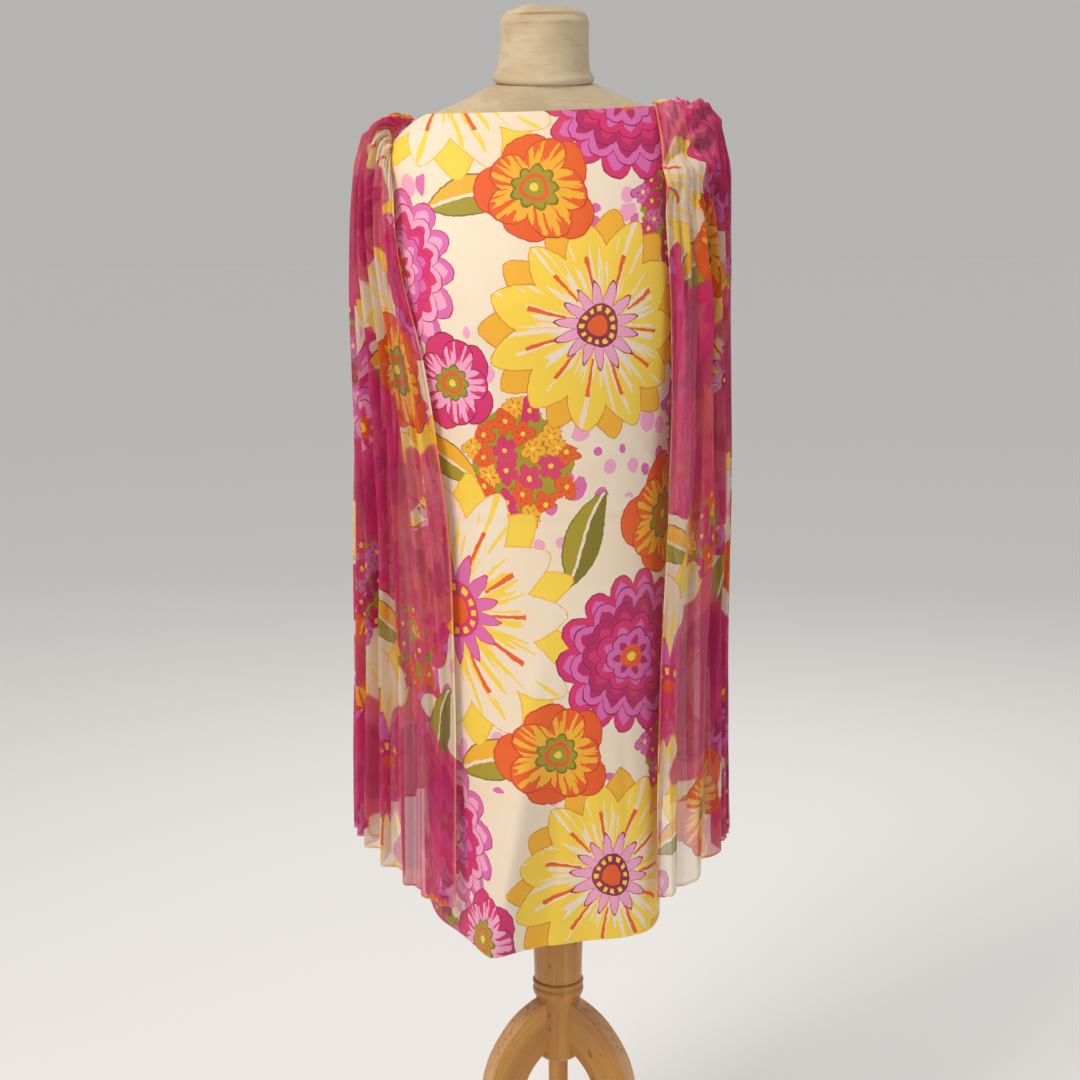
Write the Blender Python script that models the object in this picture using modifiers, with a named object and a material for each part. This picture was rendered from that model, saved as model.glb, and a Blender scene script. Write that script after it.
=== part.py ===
"""A sleeveless mini dress with two sheer hanging wings, on a limbless dress form and its tripod stand.

Metres, +Z up, the front towards -Y, the feet on the floor at z = 0. Every cloth piece is a wall thickened
outwards from its inner face. The body panels share one surface, FIGURE, which goes round by an angle: 0 at
the front, 90 degrees at +X, 180 degrees at the back. The form lies inside it by the ease of each row.
"""

import math
from typing import NamedTuple

import bmesh
import bpy
import numpy as np
from mathutils import Matrix, Vector

# Where the pole stands. The third leg reaches back, so the middle of the whole lies behind the pole.
POLE = Vector((0.009, -0.056, 0.0))
BODY_SHIFT = -0.0085  # the form and the dress hang this far to -X of the pole

DRESS_WALL = 0.0018
WING_WALL = 0.0015
GAP = 0.0003  # between pieces at a seam, and between a piece and what carries it

HEM_Z = 0.500
UNDERARM_Z = 1.225
SHOULDER_TIP_Z = 1.400
NECKLINE_Z = 1.420
NECK_SEAM_Z = 1.449
FORM_BOTTOM_Z = 0.740
SKIRT_STEPS_Z = 0.860  # the skirt's folds have died out here, and the steps above are longer
# Above the underarm the dress lies on the form, so both are stepped at the same heights: (top, steps).
UPPER_LEVELS = ((1.27, 3), (1.37, 3), (SHOULDER_TIP_Z, 3), (NECKLINE_Z, 2))

POLE_RADIUS = 0.030
HUB_RADIUS = 0.0265
HUB_TOP_Z = 0.396
HUB_BOTTOM_Z = 0.296
LEG_THICKNESS = 0.024
LEG_EDGE = 0.003
LEG_ANGLES = (-64.0, 55.0, 176.0)


class Section(NamedTuple):
    """One level of the body: its size before and behind, how it hangs, and how it clears the form."""

    z: float
    half_width: float
    front: float
    back: float
    power: float  # 2 is an ellipse, and more is squarer
    shift: float  # how far the cloth hangs to one side
    turn: float  # degrees that the hanging cloth has swung round
    rise: float  # metres of height for each metre towards the back
    tilt: float  # metres of height for each metre towards +X
    ease: float  # from the cloth's inner face in to the form


FIGURE = (
    Section(0.500, 0.139, 0.150, 0.150, 2.1, -0.002, 4.0, 0.00, 0.000, 0.0240),
    Section(0.700, 0.142, 0.142, 0.146, 2.1, -0.003, 2.5, 0.00, 0.000, 0.0200),
    Section(0.840, 0.144, 0.132, 0.138, 2.1, -0.004, 1.0, 0.00, 0.000, 0.0140),
    Section(1.030, 0.144, 0.120, 0.112, 2.2, -0.006, 0.0, 0.00, 0.000, 0.0220),
    Section(1.130, 0.150, 0.128, 0.104, 2.2, -0.007, 0.0, 0.00, 0.000, 0.0120),
    Section(1.200, 0.156, 0.132, 0.103, 2.2, -0.008, 0.0, 0.00, 0.000, 0.0060),
    Section(1.260, 0.161, 0.120, 0.103, 2.2, -0.008, 0.0, 0.00, 0.000, 0.0050),
    Section(1.320, 0.163, 0.098, 0.100, 2.2, -0.008, 0.0, 0.00, 0.010, 0.0040),
    Section(1.370, 0.163, 0.077, 0.088, 2.2, -0.008, 0.0, 0.00, 0.020, 0.0026),
    Section(1.400, 0.152, 0.063, 0.072, 2.1, -0.007, 0.0, 0.02, 0.026, 0.0017),
    Section(1.420, 0.125, 0.053, 0.060, 2.0, -0.005, 0.0, 0.05, 0.030, 0.0016),
    Section(1.436, 0.083, 0.050, 0.055, 2.0, -0.002, 0.0, 0.09, 0.020, 0.0005),
    Section(1.449, 0.058, 0.049, 0.053, 2.0, 0.000, 0.0, 0.10, 0.000, 0.0005),
)


class Armhole(NamedTuple):
    """How far round the front and the back panel reach at one height of the armhole, in degrees."""

    z: float
    front_angle: float
    back_angle: float


ARMHOLE = (
    Armhole(1.225, 90.0, 90.0),
    Armhole(1.240, 72.0, 106.0),
    Armhole(1.270, 61.0, 117.0),
    Armhole(1.320, 57.0, 121.0),
    Armhole(1.365, 62.0, 116.0),
    Armhole(1.390, 76.0, 103.0),
    Armhole(1.400, 90.0, 90.0),
)


class Fold(NamedTuple):
    """A soft ridge, or a trough where its depth is negative, that rises from the hem and dies out."""

    angle: float  # at the hem
    drift: float  # degrees round for each metre up
    width: float
    depth: float
    top: float


FOLDS = (
    Fold(-28.0, 68.0, 10.0, 0.036, 0.86),
    Fold(-54.0, 10.0, 16.0, -0.003, 0.80),
    Fold(8.0, -20.0, 16.0, -0.013, 0.84),
    Fold(40.0, -8.0, 13.0, 0.007, 0.82),
    Fold(74.0, 0.0, 18.0, -0.016, 0.74),
    Fold(120.0, 5.0, 14.0, 0.012, 0.84),
    Fold(152.0, 0.0, 13.0, -0.008, 0.80),
    Fold(196.0, -10.0, 15.0, 0.014, 0.88),
    Fold(228.0, 0.0, 14.0, -0.010, 0.82),
    Fold(252.0, 10.0, 12.0, 0.009, 0.76),
)


class Hang(NamedTuple):
    """One level of a hanging wing: the curve that it follows round the body, and its two edges."""

    z: float
    half_width: float
    front: float
    back: float
    front_edge: float  # degrees
    back_edge: float


class Set(NamedTuple):
    """Where a share of the wing's head is sewn on, and the way the cloth sets off there."""

    share: float
    angle: float
    z: float
    heading: float  # degrees, as the angle


class Wing(NamedTuple):
    """One wing: how it hangs, where it is set in, and what tells it from the other."""

    name: str
    side: int  # 1 at +X
    hang: tuple
    seam: tuple
    puff: float  # how high its gathered head stands above the shoulder
    hem_rise: float  # how much higher its hem is at the side than at the front edge
    shift: float


WINGS = (
    Wing(
        "wing_right",
        1,
        (
            Hang(0.540, 0.211, 0.143, 0.160, 34.0, 146.0),
            Hang(0.800, 0.208, 0.130, 0.150, 37.0, 146.0),
            Hang(1.000, 0.206, 0.122, 0.140, 39.0, 144.0),
            Hang(1.150, 0.209, 0.118, 0.131, 43.0, 140.0),
            Hang(1.280, 0.209, 0.110, 0.122, 45.0, 132.0),
            Hang(1.370, 0.210, 0.096, 0.105, 42.0, 126.0),
        ),
        (
            Set(0.00, 86.0, 1.421, 40.0),
            Set(0.20, 90.0, 1.409, 66.0),
            Set(0.40, 93.0, 1.397, 90.0),
            Set(0.70, 110.0, 1.372, 108.0),
            Set(1.00, 120.0, 1.310, 116.0),
        ),
        0.040,
        0.043,
        0.000,
    ),
    Wing(
        "wing_left",
        -1,
        (
            Hang(0.540, 0.227, 0.145, 0.164, 31.0, 146.0),
            Hang(0.800, 0.216, 0.130, 0.152, 31.0, 146.0),
            Hang(1.000, 0.208, 0.123, 0.142, 34.0, 145.0),
            Hang(1.150, 0.206, 0.119, 0.138, 48.0, 144.0),
            Hang(1.280, 0.203, 0.108, 0.134, 62.0, 142.0),
            Hang(1.370, 0.196, 0.090, 0.132, 64.0, 140.0),
        ),
        (
            Set(0.00, 64.0, 1.372, 72.0),
            Set(0.16, 80.0, 1.393, 84.0),
            Set(0.32, 92.0, 1.402, 98.0),
            Set(0.65, 94.0, 1.413, 130.0),
            Set(1.00, 95.0, 1.421, 156.0),
        ),
        0.012,
        0.056,
        0.005,
    ),
)
WING_FOLDS = 10
WING_FOLD_DEPTH = 0.0085
WING_TOP_Z = 1.350  # where the gathered head has turned over and hangs straight
WING_TOP_DROP = 0.045  # how much lower that is at the wing's two edges
WING_HEAD = 0.24  # the share of a wing's rows that its head takes
HEAD_RISE = 0.012  # how far the head stands off its seam, before it sets off level by its reach
HEAD_REACH = 0.018
HEAD_TURN = 0.030  # how far above its straight hang the head turns over
HEAD_TURN_SHARE = 0.75  # and the share of the puff that is added to that
HEM_RISE_BY = 0.4  # the share of the wing across which its hem has risen
GATHER_SHALLOW = 0.22  # the depth that a gather keeps at the seam
GATHER_FADE = 0.35  # the share of the wing's length over which a gather reaches its full depth


class Wander(NamedTuple):
    """A slow drift of the gathers: its size, and its waves across the wing, up it and to each side."""

    size: float
    across: float
    up: float
    side: float


WANDERS = (
    Wander(0.028, 1.7, 0.0, 0.2),
    Wander(0.014, 2.6, 0.6, 0.0),
)


class LegPoint(NamedTuple):
    """A point on the middle of a leg's plank: its reach from the pole, its height and its depth."""

    reach: float
    z: float
    depth: float


LEG = (
    LegPoint(0.020, 0.340, 0.060),
    LegPoint(0.047, 0.326, 0.056),
    LegPoint(0.072, 0.291, 0.050),
    LegPoint(0.086, 0.235, 0.045),
    LegPoint(0.108, 0.170, 0.041),
    LegPoint(0.143, 0.105, 0.037),
    LegPoint(0.190, 0.050, 0.033),
    LegPoint(0.240, 0.0145, 0.029),
    LegPoint(0.284, 0.0114, 0.023),
)

# Radius and height of each turned profile, from the top down.
POLE_PROFILE = (
    (0.0, FORM_BOTTOM_Z - GAP),
    (POLE_RADIUS, FORM_BOTTOM_Z - GAP),
    (POLE_RADIUS, 0.520),
    (0.0290, 0.450),
    (0.0272, HUB_TOP_Z + 0.022),
    (0.0272, HUB_TOP_Z + GAP),
    (0.0, HUB_TOP_Z + GAP),
)
HUB_PROFILE = (
    (0.0, HUB_TOP_Z),
    (0.0280, HUB_TOP_Z),
    (0.0294, 0.3945),
    (0.0292, 0.3925),
    (0.0270, 0.3910),
    (0.0270, 0.3898),
    (0.0292, 0.3870),
    (0.0292, 0.3828),
    (0.0270, 0.3800),
    (0.0270, 0.3788),
    (HUB_RADIUS, 0.3770),
    (HUB_RADIUS, 0.3060),
    (0.0252, 0.2995),
    (0.0222, HUB_BOTTOM_Z),
    (0.0, HUB_BOTTOM_Z),
)


UNDERSIDE_ROUNDING = 0.012  # the height over which the form narrows to its flat underside
UNDERSIDE_NARROWING = 0.09
NECK_BACK = 0.002  # how far behind the pole's axis the neck block stands


class NeckRing(NamedTuple):
    """One ring of the neck block above the form's neck seam."""

    height: float
    radius: float
    rise: float


NECK = (
    NeckRing(0.0003, 0.0525, 0.100),
    NeckRing(0.0030, 0.0540, 0.100),
    NeckRing(0.0080, 0.0535, 0.090),
    NeckRing(0.0170, 0.0500, 0.060),
    NeckRing(0.0400, 0.0492, 0.020),
    NeckRing(0.0620, 0.0494, 0.000),
    NeckRing(0.0710, 0.0482, 0.000),
    NeckRing(0.0790, 0.0415, 0.000),
    NeckRing(0.0835, 0.0290, 0.000),
    NeckRing(0.0855, 0.0120, 0.000),
)


def start_scene():
    """Empty the scene and return one collection for the object and one for its cutters."""
    for thing in list(bpy.data.objects):
        bpy.data.objects.remove(thing)
    shown = bpy.data.collections.new("mini_dress_on_form")
    cutters = bpy.data.collections.new("cutters")
    for collection in (shown, cutters):
        bpy.context.scene.collection.children.link(collection)
    return shown, cutters


def finish(name, colour, roughness):
    """A material of one colour and roughness."""
    material = bpy.data.materials.new(name)
    material.use_nodes = True
    shader = material.node_tree.nodes["Principled BSDF"]
    shader.inputs["Base Color"].default_value = (*colour, 1.0)
    shader.inputs["Roughness"].default_value = roughness
    shader.inputs["Metallic"].default_value = 0.0
    return material


def add_object(name, mesh, collection, material):
    """A smooth-shaded object of a mesh, in a collection."""
    thing = bpy.data.objects.new(name, mesh)
    collection.objects.link(thing)
    mesh.materials.append(material)
    mesh.shade_smooth()
    mesh.set_sharp_from_angle(angle=math.radians(40))
    return thing


def between(rows, z):
    """Every column of a table at height z, on a smooth curve through its rows."""
    table = np.array(rows, float)
    heights = table[:, 0]
    slopes = np.gradient(table, heights, axis=0)
    z = min(max(z, heights[0]), heights[-1])
    i = min(int(np.searchsorted(heights, z, "right")) - 1, len(rows) - 2)
    span = heights[i + 1] - heights[i]
    t = (z - heights[i]) / span
    below = (1 + 2 * t) * (1 - t) ** 2 * table[i] + t * (1 - t) ** 2 * span * slopes[i]
    above = t * t * (3 - 2 * t) * table[i + 1] + t * t * (t - 1) * span * slopes[i + 1]
    return type(rows[0])(*(below + above))


def ease_in(t):
    """0 below 0, 1 above 1, and smooth between."""
    t = min(max(t, 0.0), 1.0)
    return t * t * (3 - 2 * t)


def oval(angle, half_width, front, back, power):
    """A point of a level oval, at an angle in radians."""
    across, along = math.sin(angle), math.cos(angle)
    depth = front if along > 0 else back
    x = half_width * math.copysign(abs(across) ** (2 / power), across)
    y = -depth * math.copysign(abs(along) ** (2 / power), along)
    return Vector((x, y, 0.0))


def figure(angle, z):
    """A point of the body's surface, without its folds. The angle is in degrees."""
    level = between(FIGURE, z)
    point = oval(math.radians(angle), level.half_width, level.front, level.back, level.power)
    point.rotate(Matrix.Rotation(math.radians(level.turn), 3, "Z"))
    point.z = z + level.rise * point.y + level.tilt * point.x
    return point + Vector((POLE.x + BODY_SHIFT + level.shift, POLE.y, 0.0))


def figure_normal(angle, z):
    """The outward direction of the body's surface."""
    step, lift = 0.5, 0.001
    round_it = figure(angle + step, z) - figure(angle - step, z)
    up = figure(angle, min(z + lift, NECK_SEAM_Z)) - figure(angle, z - lift)
    return round_it.cross(up).normalized()


def fold_depth(angle, z):
    """How far the folds push the skirt out at a place."""
    total = 0.0
    for fold in FOLDS:
        here = fold.angle + fold.drift * (z - HEM_Z)
        off = (angle - here + 180) % 360 - 180
        fade = ease_in((fold.top - z) / (fold.top - HEM_Z))
        total += fold.depth * fade * math.exp(-((off / fold.width) ** 2))
    return total


def dress_point(angle, z):
    """A point of the dress's inner face, with its folds."""
    outward = figure_normal(angle, z)
    outward.z = 0.0
    return figure(angle, z) + outward.normalized() * fold_depth(angle, z)


def form_point(angle, z):
    """A point of the dress form, inside the dress by the ease of that height."""
    inward = -figure_normal(angle, z)
    return figure(angle, z) + inward * between(FIGURE, z).ease


def levels(*stretches):
    """Heights in rising order, from a start and stretches that each have a top and a number of steps."""
    found = [stretches[0]]
    for top, steps in stretches[1:]:
        found += list(np.linspace(found[-1], top, steps + 1)[1:])
    return found


def panel_reach(z, edge_name):
    """How far round a panel goes at a height, less its half of the seam's gap."""
    level = between(FIGURE, z)
    reach = 90.0
    if UNDERARM_Z < z < SHOULDER_TIP_Z:
        reach = getattr(between(ARMHOLE, z), edge_name)
    depth = min(level.front, level.back)
    gap = math.degrees(math.asin(min(1.0, GAP / 2 / depth)))
    return reach - gap if edge_name == "front_angle" else reach + gap


def cloth(name, columns, rows, place, wall, collection, material):
    """A wall of cloth: a grid whose points are moved to place(u, v), thickened outwards."""
    mesh = bpy.data.meshes.new(name)
    grid = bmesh.new()
    bmesh.ops.create_grid(grid, x_segments=columns, y_segments=rows, size=0.5)
    for vertex in grid.verts:
        vertex.co = place(vertex.co.x + 0.5, vertex.co.y + 0.5)
    grid.to_mesh(mesh)
    grid.free()
    thing = add_object(name, mesh, collection, material)
    thickness = thing.modifiers.new("wall", "SOLIDIFY")
    thickness.thickness = wall
    thickness.offset = 1.0
    return thing


def at(values, share):
    """The value at a share of the way along an even list."""
    place = share * (len(values) - 1)
    return float(np.interp(place, range(len(values)), values))


def build_body(collection, print_cloth):
    """The front panel and the two back panels of the dress, from hem to neckline."""
    heights = levels(HEM_Z, (SKIRT_STEPS_Z, 7), (UNDERARM_Z, 6), *UPPER_LEVELS)

    def front(u, v):
        z = at(heights, v)
        reach = panel_reach(z, "front_angle")
        return dress_point((2 * u - 1) * reach, z)

    def back(u, v, side):
        z = at(heights, v)
        start = panel_reach(z, "back_angle")
        stop = 180 - math.degrees(GAP / 2 / between(FIGURE, z).half_width)
        if side < 0:
            start, stop = 360 - stop, 360 - start
        return dress_point(start + (stop - start) * u, z)

    rows = len(heights) - 1
    cloth("dress_front", 24, rows, front, DRESS_WALL, collection, print_cloth)
    for name, side in (("dress_back_right", 1), ("dress_back_left", -1)):
        cloth(name, 12, rows, lambda u, v, side=side: back(u, v, side), DRESS_WALL, collection, print_cloth)


def hang_point(wing, u, z):
    """A point of a hanging wing at +X, without its folds. u is 0 at the front edge."""
    level = between(wing.hang, z)
    angle = math.radians(level.front_edge + (level.back_edge - level.front_edge) * u)
    point = oval(angle, level.half_width, level.front, level.back, 2.0)
    return point + Vector((wing.shift, 0.0, z))


def seam_point(wing, u):
    """Where the wing's head is sewn on, as at +X, the way out there, and the way the cloth sets off."""
    sewn = between(wing.seam, u)
    angle = sewn.angle * wing.side
    normal = figure_normal(angle, sewn.z)
    point = figure(angle, sewn.z) + normal * (DRESS_WALL + 4 * GAP)
    point -= Vector((POLE.x + BODY_SHIFT, POLE.y, 0.0))
    point.x *= wing.side
    normal.x *= wing.side
    turned = math.radians(sewn.heading)
    return point, normal, Vector((math.sin(turned), -math.cos(turned), 0.0))


def wing_point(wing, u, v):
    """A smooth point of a wing at +X, from the body's middle. v is 0 at the hem and 1 at the seam."""
    top = WING_TOP_Z - WING_TOP_DROP * (2 * u - 1) ** 2
    if v <= 1 - WING_HEAD:
        low = wing.hang[0].z + wing.hem_rise * ease_in(u / HEM_RISE_BY)
        return hang_point(wing, u, low + (top - low) * v / (1 - WING_HEAD))
    t = (1 - v) / WING_HEAD
    s = 1 - t
    seam, normal, outward = seam_point(wing, u)
    up = Vector((0.0, 0.0, 1.0))
    puff = wing.puff * (1 - 0.65 * abs(2 * u - 1))
    leaving = seam + normal * HEAD_RISE + outward * HEAD_REACH + up * puff
    hung = hang_point(wing, u, top)
    turning = hung + up * (HEAD_TURN + HEAD_TURN_SHARE * wing.puff)
    return seam * s**3 + leaving * 3 * s * s * t + turning * 3 * s * t * t + hung * t**3


def wing_wave(u, v, side):
    """The gathers: uneven waves across the wing, from -1 to 1."""
    drift = sum(w.size * math.sin(math.tau * (w.across * u + w.up * v + w.side * side)) for w in WANDERS)
    return math.sin(math.tau * WING_FOLDS * (u + drift) + 0.8 * side)


def wing_fold(u, v, side):
    """How far a gather pushes the wing out: less near the front edge, and at the seam, where none dips."""
    full = ease_in((1 - v) / GATHER_FADE)
    deepest = GATHER_SHALLOW + (1 - GATHER_SHALLOW) * full
    at_seam = GATHER_SHALLOW * (1 - full)
    edge = 0.35 + 0.65 * ease_in(u / 0.3)
    swell = 0.75 + 0.25 * math.sin(math.tau * (1.3 * u + 0.17 * side))
    return WING_FOLD_DEPTH * edge * swell * (deepest * wing_wave(u, v, side) + at_seam)


def build_wing(wing, collection, chiffon):
    """One wing: a long panel gathered into the armhole, which falls free to its hem."""
    step = 0.004

    def place(u, v):
        along = u if wing.side > 0 else 1 - u
        point = wing_point(wing, along, v)
        across = wing_point(wing, min(along + step, 1), v) - wing_point(wing, max(along - step, 0), v)
        up = wing_point(wing, along, min(v + step, 1)) - wing_point(wing, along, max(v - step, 0))
        point += across.cross(up).normalized() * wing_fold(along, v, wing.side)
        point.x *= wing.side
        return point + Vector((POLE.x + BODY_SHIFT, POLE.y, 0.0))

    cloth(wing.name, 40, 15, place, WING_WALL, collection, chiffon)


def ringed(name, sides, steps, place, collection, material):
    """A closed solid of rings: a cylinder whose points are moved to place(angle, share of the way up)."""
    mesh = bpy.data.meshes.new(name)
    solid = bmesh.new()
    bmesh.ops.create_cone(solid, cap_ends=True, segments=sides, radius1=1.0, radius2=1.0, depth=1.0)
    uprights = [e for e in solid.edges if abs(e.verts[0].co.z - e.verts[1].co.z) > 0.5]
    bmesh.ops.subdivide_edges(solid, edges=uprights, cuts=steps - 1)
    for vertex in solid.verts:
        angle = math.degrees(math.atan2(vertex.co.x, -vertex.co.y))
        vertex.co = place(angle, vertex.co.z + 0.5)
    solid.to_mesh(mesh)
    solid.free()
    return add_object(name, mesh, collection, material)


def build_form(collection, linen):
    """The torso, from its flat underside to the neck seam, and the domed neck block on it."""
    rounded_to = FORM_BOTTOM_Z + UNDERSIDE_ROUNDING
    lower = ((rounded_to, 2), (SKIRT_STEPS_Z, 2), (UNDERARM_Z, 6))
    heights = levels(FORM_BOTTOM_Z, *lower, *UPPER_LEVELS, (NECK_SEAM_Z, 3))

    def torso(angle, share):
        z = at(heights, share)
        point = form_point(angle, z)
        under = 1 - min((z - FORM_BOTTOM_Z) / UNDERSIDE_ROUNDING, 1.0)
        point.z += (z - point.z) * under
        middle = Vector((POLE.x + BODY_SHIFT, POLE.y, point.z))
        return middle + (point - middle) * (1 - UNDERSIDE_NARROWING * under**2)

    def neck(angle, share):
        height, radius, rise = (at(column, share) for column in zip(*NECK))
        turned = math.radians(angle)
        offset = Vector((radius * math.sin(turned), NECK_BACK - radius * math.cos(turned), 0.0))
        offset.z = NECK_SEAM_Z + height + rise * offset.y
        return offset + Vector((POLE.x + BODY_SHIFT, POLE.y, 0.0))

    ringed("form_torso", 24, len(heights) - 1, torso, collection, linen)
    ringed("form_neck", 24, len(NECK) - 1, neck, collection, linen)


def turned(name, profile, collection, material):
    """A turned piece on the pole's axis: a profile with a Screw modifier."""
    mesh = bpy.data.meshes.new(name)
    edges = [(i, i + 1) for i in range(len(profile) - 1)]
    mesh.from_pydata([(radius, 0.0, z) for radius, z in profile], edges, [])
    thing = add_object(name, mesh, collection, material)
    thing.location = POLE
    spin = thing.modifiers.new("turn", "SCREW")
    spin.steps = spin.render_steps = 24
    spin.use_smooth_shade = True
    spin.use_merge_vertices = True
    spin.merge_threshold = 0.0001
    return thing


def leg_outline():
    """The outline of a leg's plank in reach and height, out along its top edge and back below."""
    table = np.array(LEG)
    slopes = np.gradient(table, axis=0)
    outer, inner = [], []
    for place in np.linspace(0, len(LEG) - 1, 2 * len(LEG) - 1):
        i = min(int(place), len(LEG) - 2)
        t = place - i
        start = (1 + 2 * t) * (1 - t) ** 2 * table[i] + t * (1 - t) ** 2 * slopes[i]
        stop = t * t * (3 - 2 * t) * table[i + 1] + t * t * (t - 1) * slopes[i + 1]
        reach, z, depth = start + stop
        heading = slopes[i] * (1 - t) + slopes[i + 1] * t
        across = Vector((-heading[1], heading[0])).normalized() * depth / 2
        outer.append((reach + across.x, max(z + across.y, 0.0)))
        inner.append((reach - across.x, max(z - across.y, 0.0)))
    return outer + inner[::-1]


def build_legs(collection, cutters, wood):
    """Three plank legs, each cut to the hub that it meets."""
    bpy.ops.mesh.primitive_cylinder_add(
        vertices=56,
        radius=HUB_RADIUS + GAP,
        depth=0.4,
        location=(POLE.x, POLE.y, HUB_BOTTOM_Z),
    )
    cutter = bpy.context.object
    cutter.name = "hub_seat"
    cutter.display_type = "WIRE"
    cutter.hide_render = True
    for holder in list(cutter.users_collection):
        holder.objects.unlink(cutter)
    cutters.objects.link(cutter)

    curve = bpy.data.curves.new("leg_outline", "CURVE")
    curve.dimensions = "2D"
    curve.fill_mode = "BOTH"
    curve.extrude = LEG_THICKNESS / 2
    spline = curve.splines.new("POLY")
    outline = leg_outline()
    spline.points.add(len(outline) - 1)
    for point, (reach, z) in zip(spline.points, outline):
        point.co = (reach, z, 0.0, 1.0)
    spline.use_cyclic_u = True
    guide = bpy.data.objects.new("leg_guide", curve)
    collection.objects.link(guide)
    bpy.context.view_layer.update()
    plank = bpy.data.meshes.new_from_object(guide.evaluated_get(bpy.context.evaluated_depsgraph_get()))
    bpy.data.objects.remove(guide)
    welded = bmesh.new()
    welded.from_mesh(plank)
    bmesh.ops.remove_doubles(welded, verts=welded.verts, dist=0.00001)
    bmesh.ops.dissolve_limit(welded, angle_limit=math.radians(1), verts=welded.verts, edges=welded.edges)
    welded.to_mesh(plank)
    welded.free()

    for number, angle in enumerate(LEG_ANGLES, 1):
        leg = add_object(f"leg_{number}", plank.copy(), collection, wood)
        heading = Matrix.Rotation(math.radians(angle - 90), 4, "Z")
        leg.matrix_world = Matrix.Translation(POLE) @ heading @ Matrix.Rotation(math.radians(90), 4, "X")
        rounding = leg.modifiers.new("edges", "BEVEL")
        rounding.width = LEG_EDGE
        rounding.segments = 2
        rounding.limit_method = "ANGLE"
        rounding.angle_limit = math.radians(50)
        seat = leg.modifiers.new("seat", "BOOLEAN")
        seat.operation = "DIFFERENCE"
        seat.object = cutter
    bpy.data.meshes.remove(plank)


def main():
    """Build the dress, its wings, the form and the stand."""
    shown, cutters = start_scene()
    print_cloth = finish("printed_cloth", (0.86, 0.42, 0.38), 0.62)
    chiffon = finish("printed_chiffon", (0.72, 0.16, 0.36), 0.7)
    linen = finish("form_cloth", (0.78, 0.72, 0.60), 0.9)
    wood = finish("varnished_wood", (0.72, 0.45, 0.20), 0.35)

    build_body(shown, print_cloth)
    for wing in WINGS:
        build_wing(wing, shown, chiffon)
    build_form(shown, linen)
    turned("pole", POLE_PROFILE, shown, wood)
    turned("hub", HUB_PROFILE, shown, wood)
    build_legs(shown, cutters, wood)


main()
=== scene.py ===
"""Looks of a mini dress with sheer hanging wings, on its limbless dress form and turned tripod stand.

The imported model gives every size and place. Each cloth piece is a fine sheet on the surface of the solid
that it stands for, with its folds, gathers and creases. It carries its own cut as its UV map, in metres, so
the print and the weave lie on the cloth as they were printed and woven. The print is drawn by shader nodes.
"""

from __future__ import annotations

import logging
import math
from dataclasses import dataclass
from enum import Enum
from typing import Sequence

import bpy
import numpy as np
from mathutils import Matrix, Vector


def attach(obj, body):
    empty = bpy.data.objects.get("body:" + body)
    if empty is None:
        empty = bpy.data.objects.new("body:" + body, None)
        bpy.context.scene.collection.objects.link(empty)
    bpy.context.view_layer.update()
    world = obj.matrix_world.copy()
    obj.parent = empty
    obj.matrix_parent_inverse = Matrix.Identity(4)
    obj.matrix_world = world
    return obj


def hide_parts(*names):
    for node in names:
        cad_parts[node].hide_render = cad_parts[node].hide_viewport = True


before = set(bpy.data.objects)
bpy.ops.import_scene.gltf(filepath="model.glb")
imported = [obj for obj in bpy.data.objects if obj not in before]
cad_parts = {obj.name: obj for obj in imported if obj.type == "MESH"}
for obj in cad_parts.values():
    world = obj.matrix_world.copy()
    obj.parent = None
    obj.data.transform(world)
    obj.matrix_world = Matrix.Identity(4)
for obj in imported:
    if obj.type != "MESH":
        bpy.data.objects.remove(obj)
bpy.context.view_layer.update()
LOG = logging.getLogger("mini_dress")

Colour = tuple[float, float, float]
Grid = np.ndarray  # a number, or a point in metres, for each place of a grid
BODY = "root"  # the one body, which every piece rides on


def ink(red: int, green: int, blue: int) -> Colour:
    """A screen colour, 0 to 255 a channel, as the linear colour that shader nodes take.

    Args:
        red: The red channel.
        green: The green channel.
        blue: The blue channel.

    Returns:
        The linear colour.
    """
    shares = np.array((red, green, blue)) / 255
    return tuple(c / 12.92 if c <= 0.04045 else ((c + 0.055) / 1.055) ** 2.4 for c in shares)


class Signal:
    """One output of a shader node, with node arithmetic behind Python's operators."""

    def __init__(self, board: Board, socket: bpy.types.NodeSocket) -> None:
        """Hold a socket and the board that it is on."""
        self.board = board
        self.socket = socket

    def __add__(self, other: Signal | float) -> Signal:
        """The sum."""
        return self.board.math("ADD", self, other)

    def __sub__(self, other: Signal | float) -> Signal:
        """The difference."""
        return self.board.math("SUBTRACT", self, other)

    def __rsub__(self, other: float) -> Signal:
        """The difference from a number."""
        return self.board.math("SUBTRACT", other, self)

    def __mul__(self, other: Signal | float) -> Signal:
        """The product. Of two masks, it is where both are."""
        return self.board.math("MULTIPLY", self, other)

    def __truediv__(self, other: Signal | float) -> Signal:
        """The quotient."""
        return self.board.math("DIVIDE", self, other)

    def __pow__(self, other: float) -> Signal:
        """The power."""
        return self.board.math("POWER", self, other)

    def __abs__(self) -> Signal:
        """The size without its sign."""
        return self.board.math("ABSOLUTE", self)

    def __lt__(self, other: Signal | float) -> Signal:
        """A mask: 1 where this is less."""
        return self.board.math("LESS_THAN", self, other)

    def __gt__(self, other: Signal | float) -> Signal:
        """A mask: 1 where this is more."""
        return self.board.math("GREATER_THAN", self, other)

    def sine(self) -> Signal:
        """The sine of this, in radians."""
        return self.board.math("SINE", self)

    def parts(self) -> tuple[Signal, Signal, Signal]:
        """The X, Y and Z of a vector."""
        node = self.board.made("ShaderNodeSeparateXYZ", {0: self}).socket.node
        return tuple(Signal(self.board, node.outputs[i]) for i in range(3))


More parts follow.
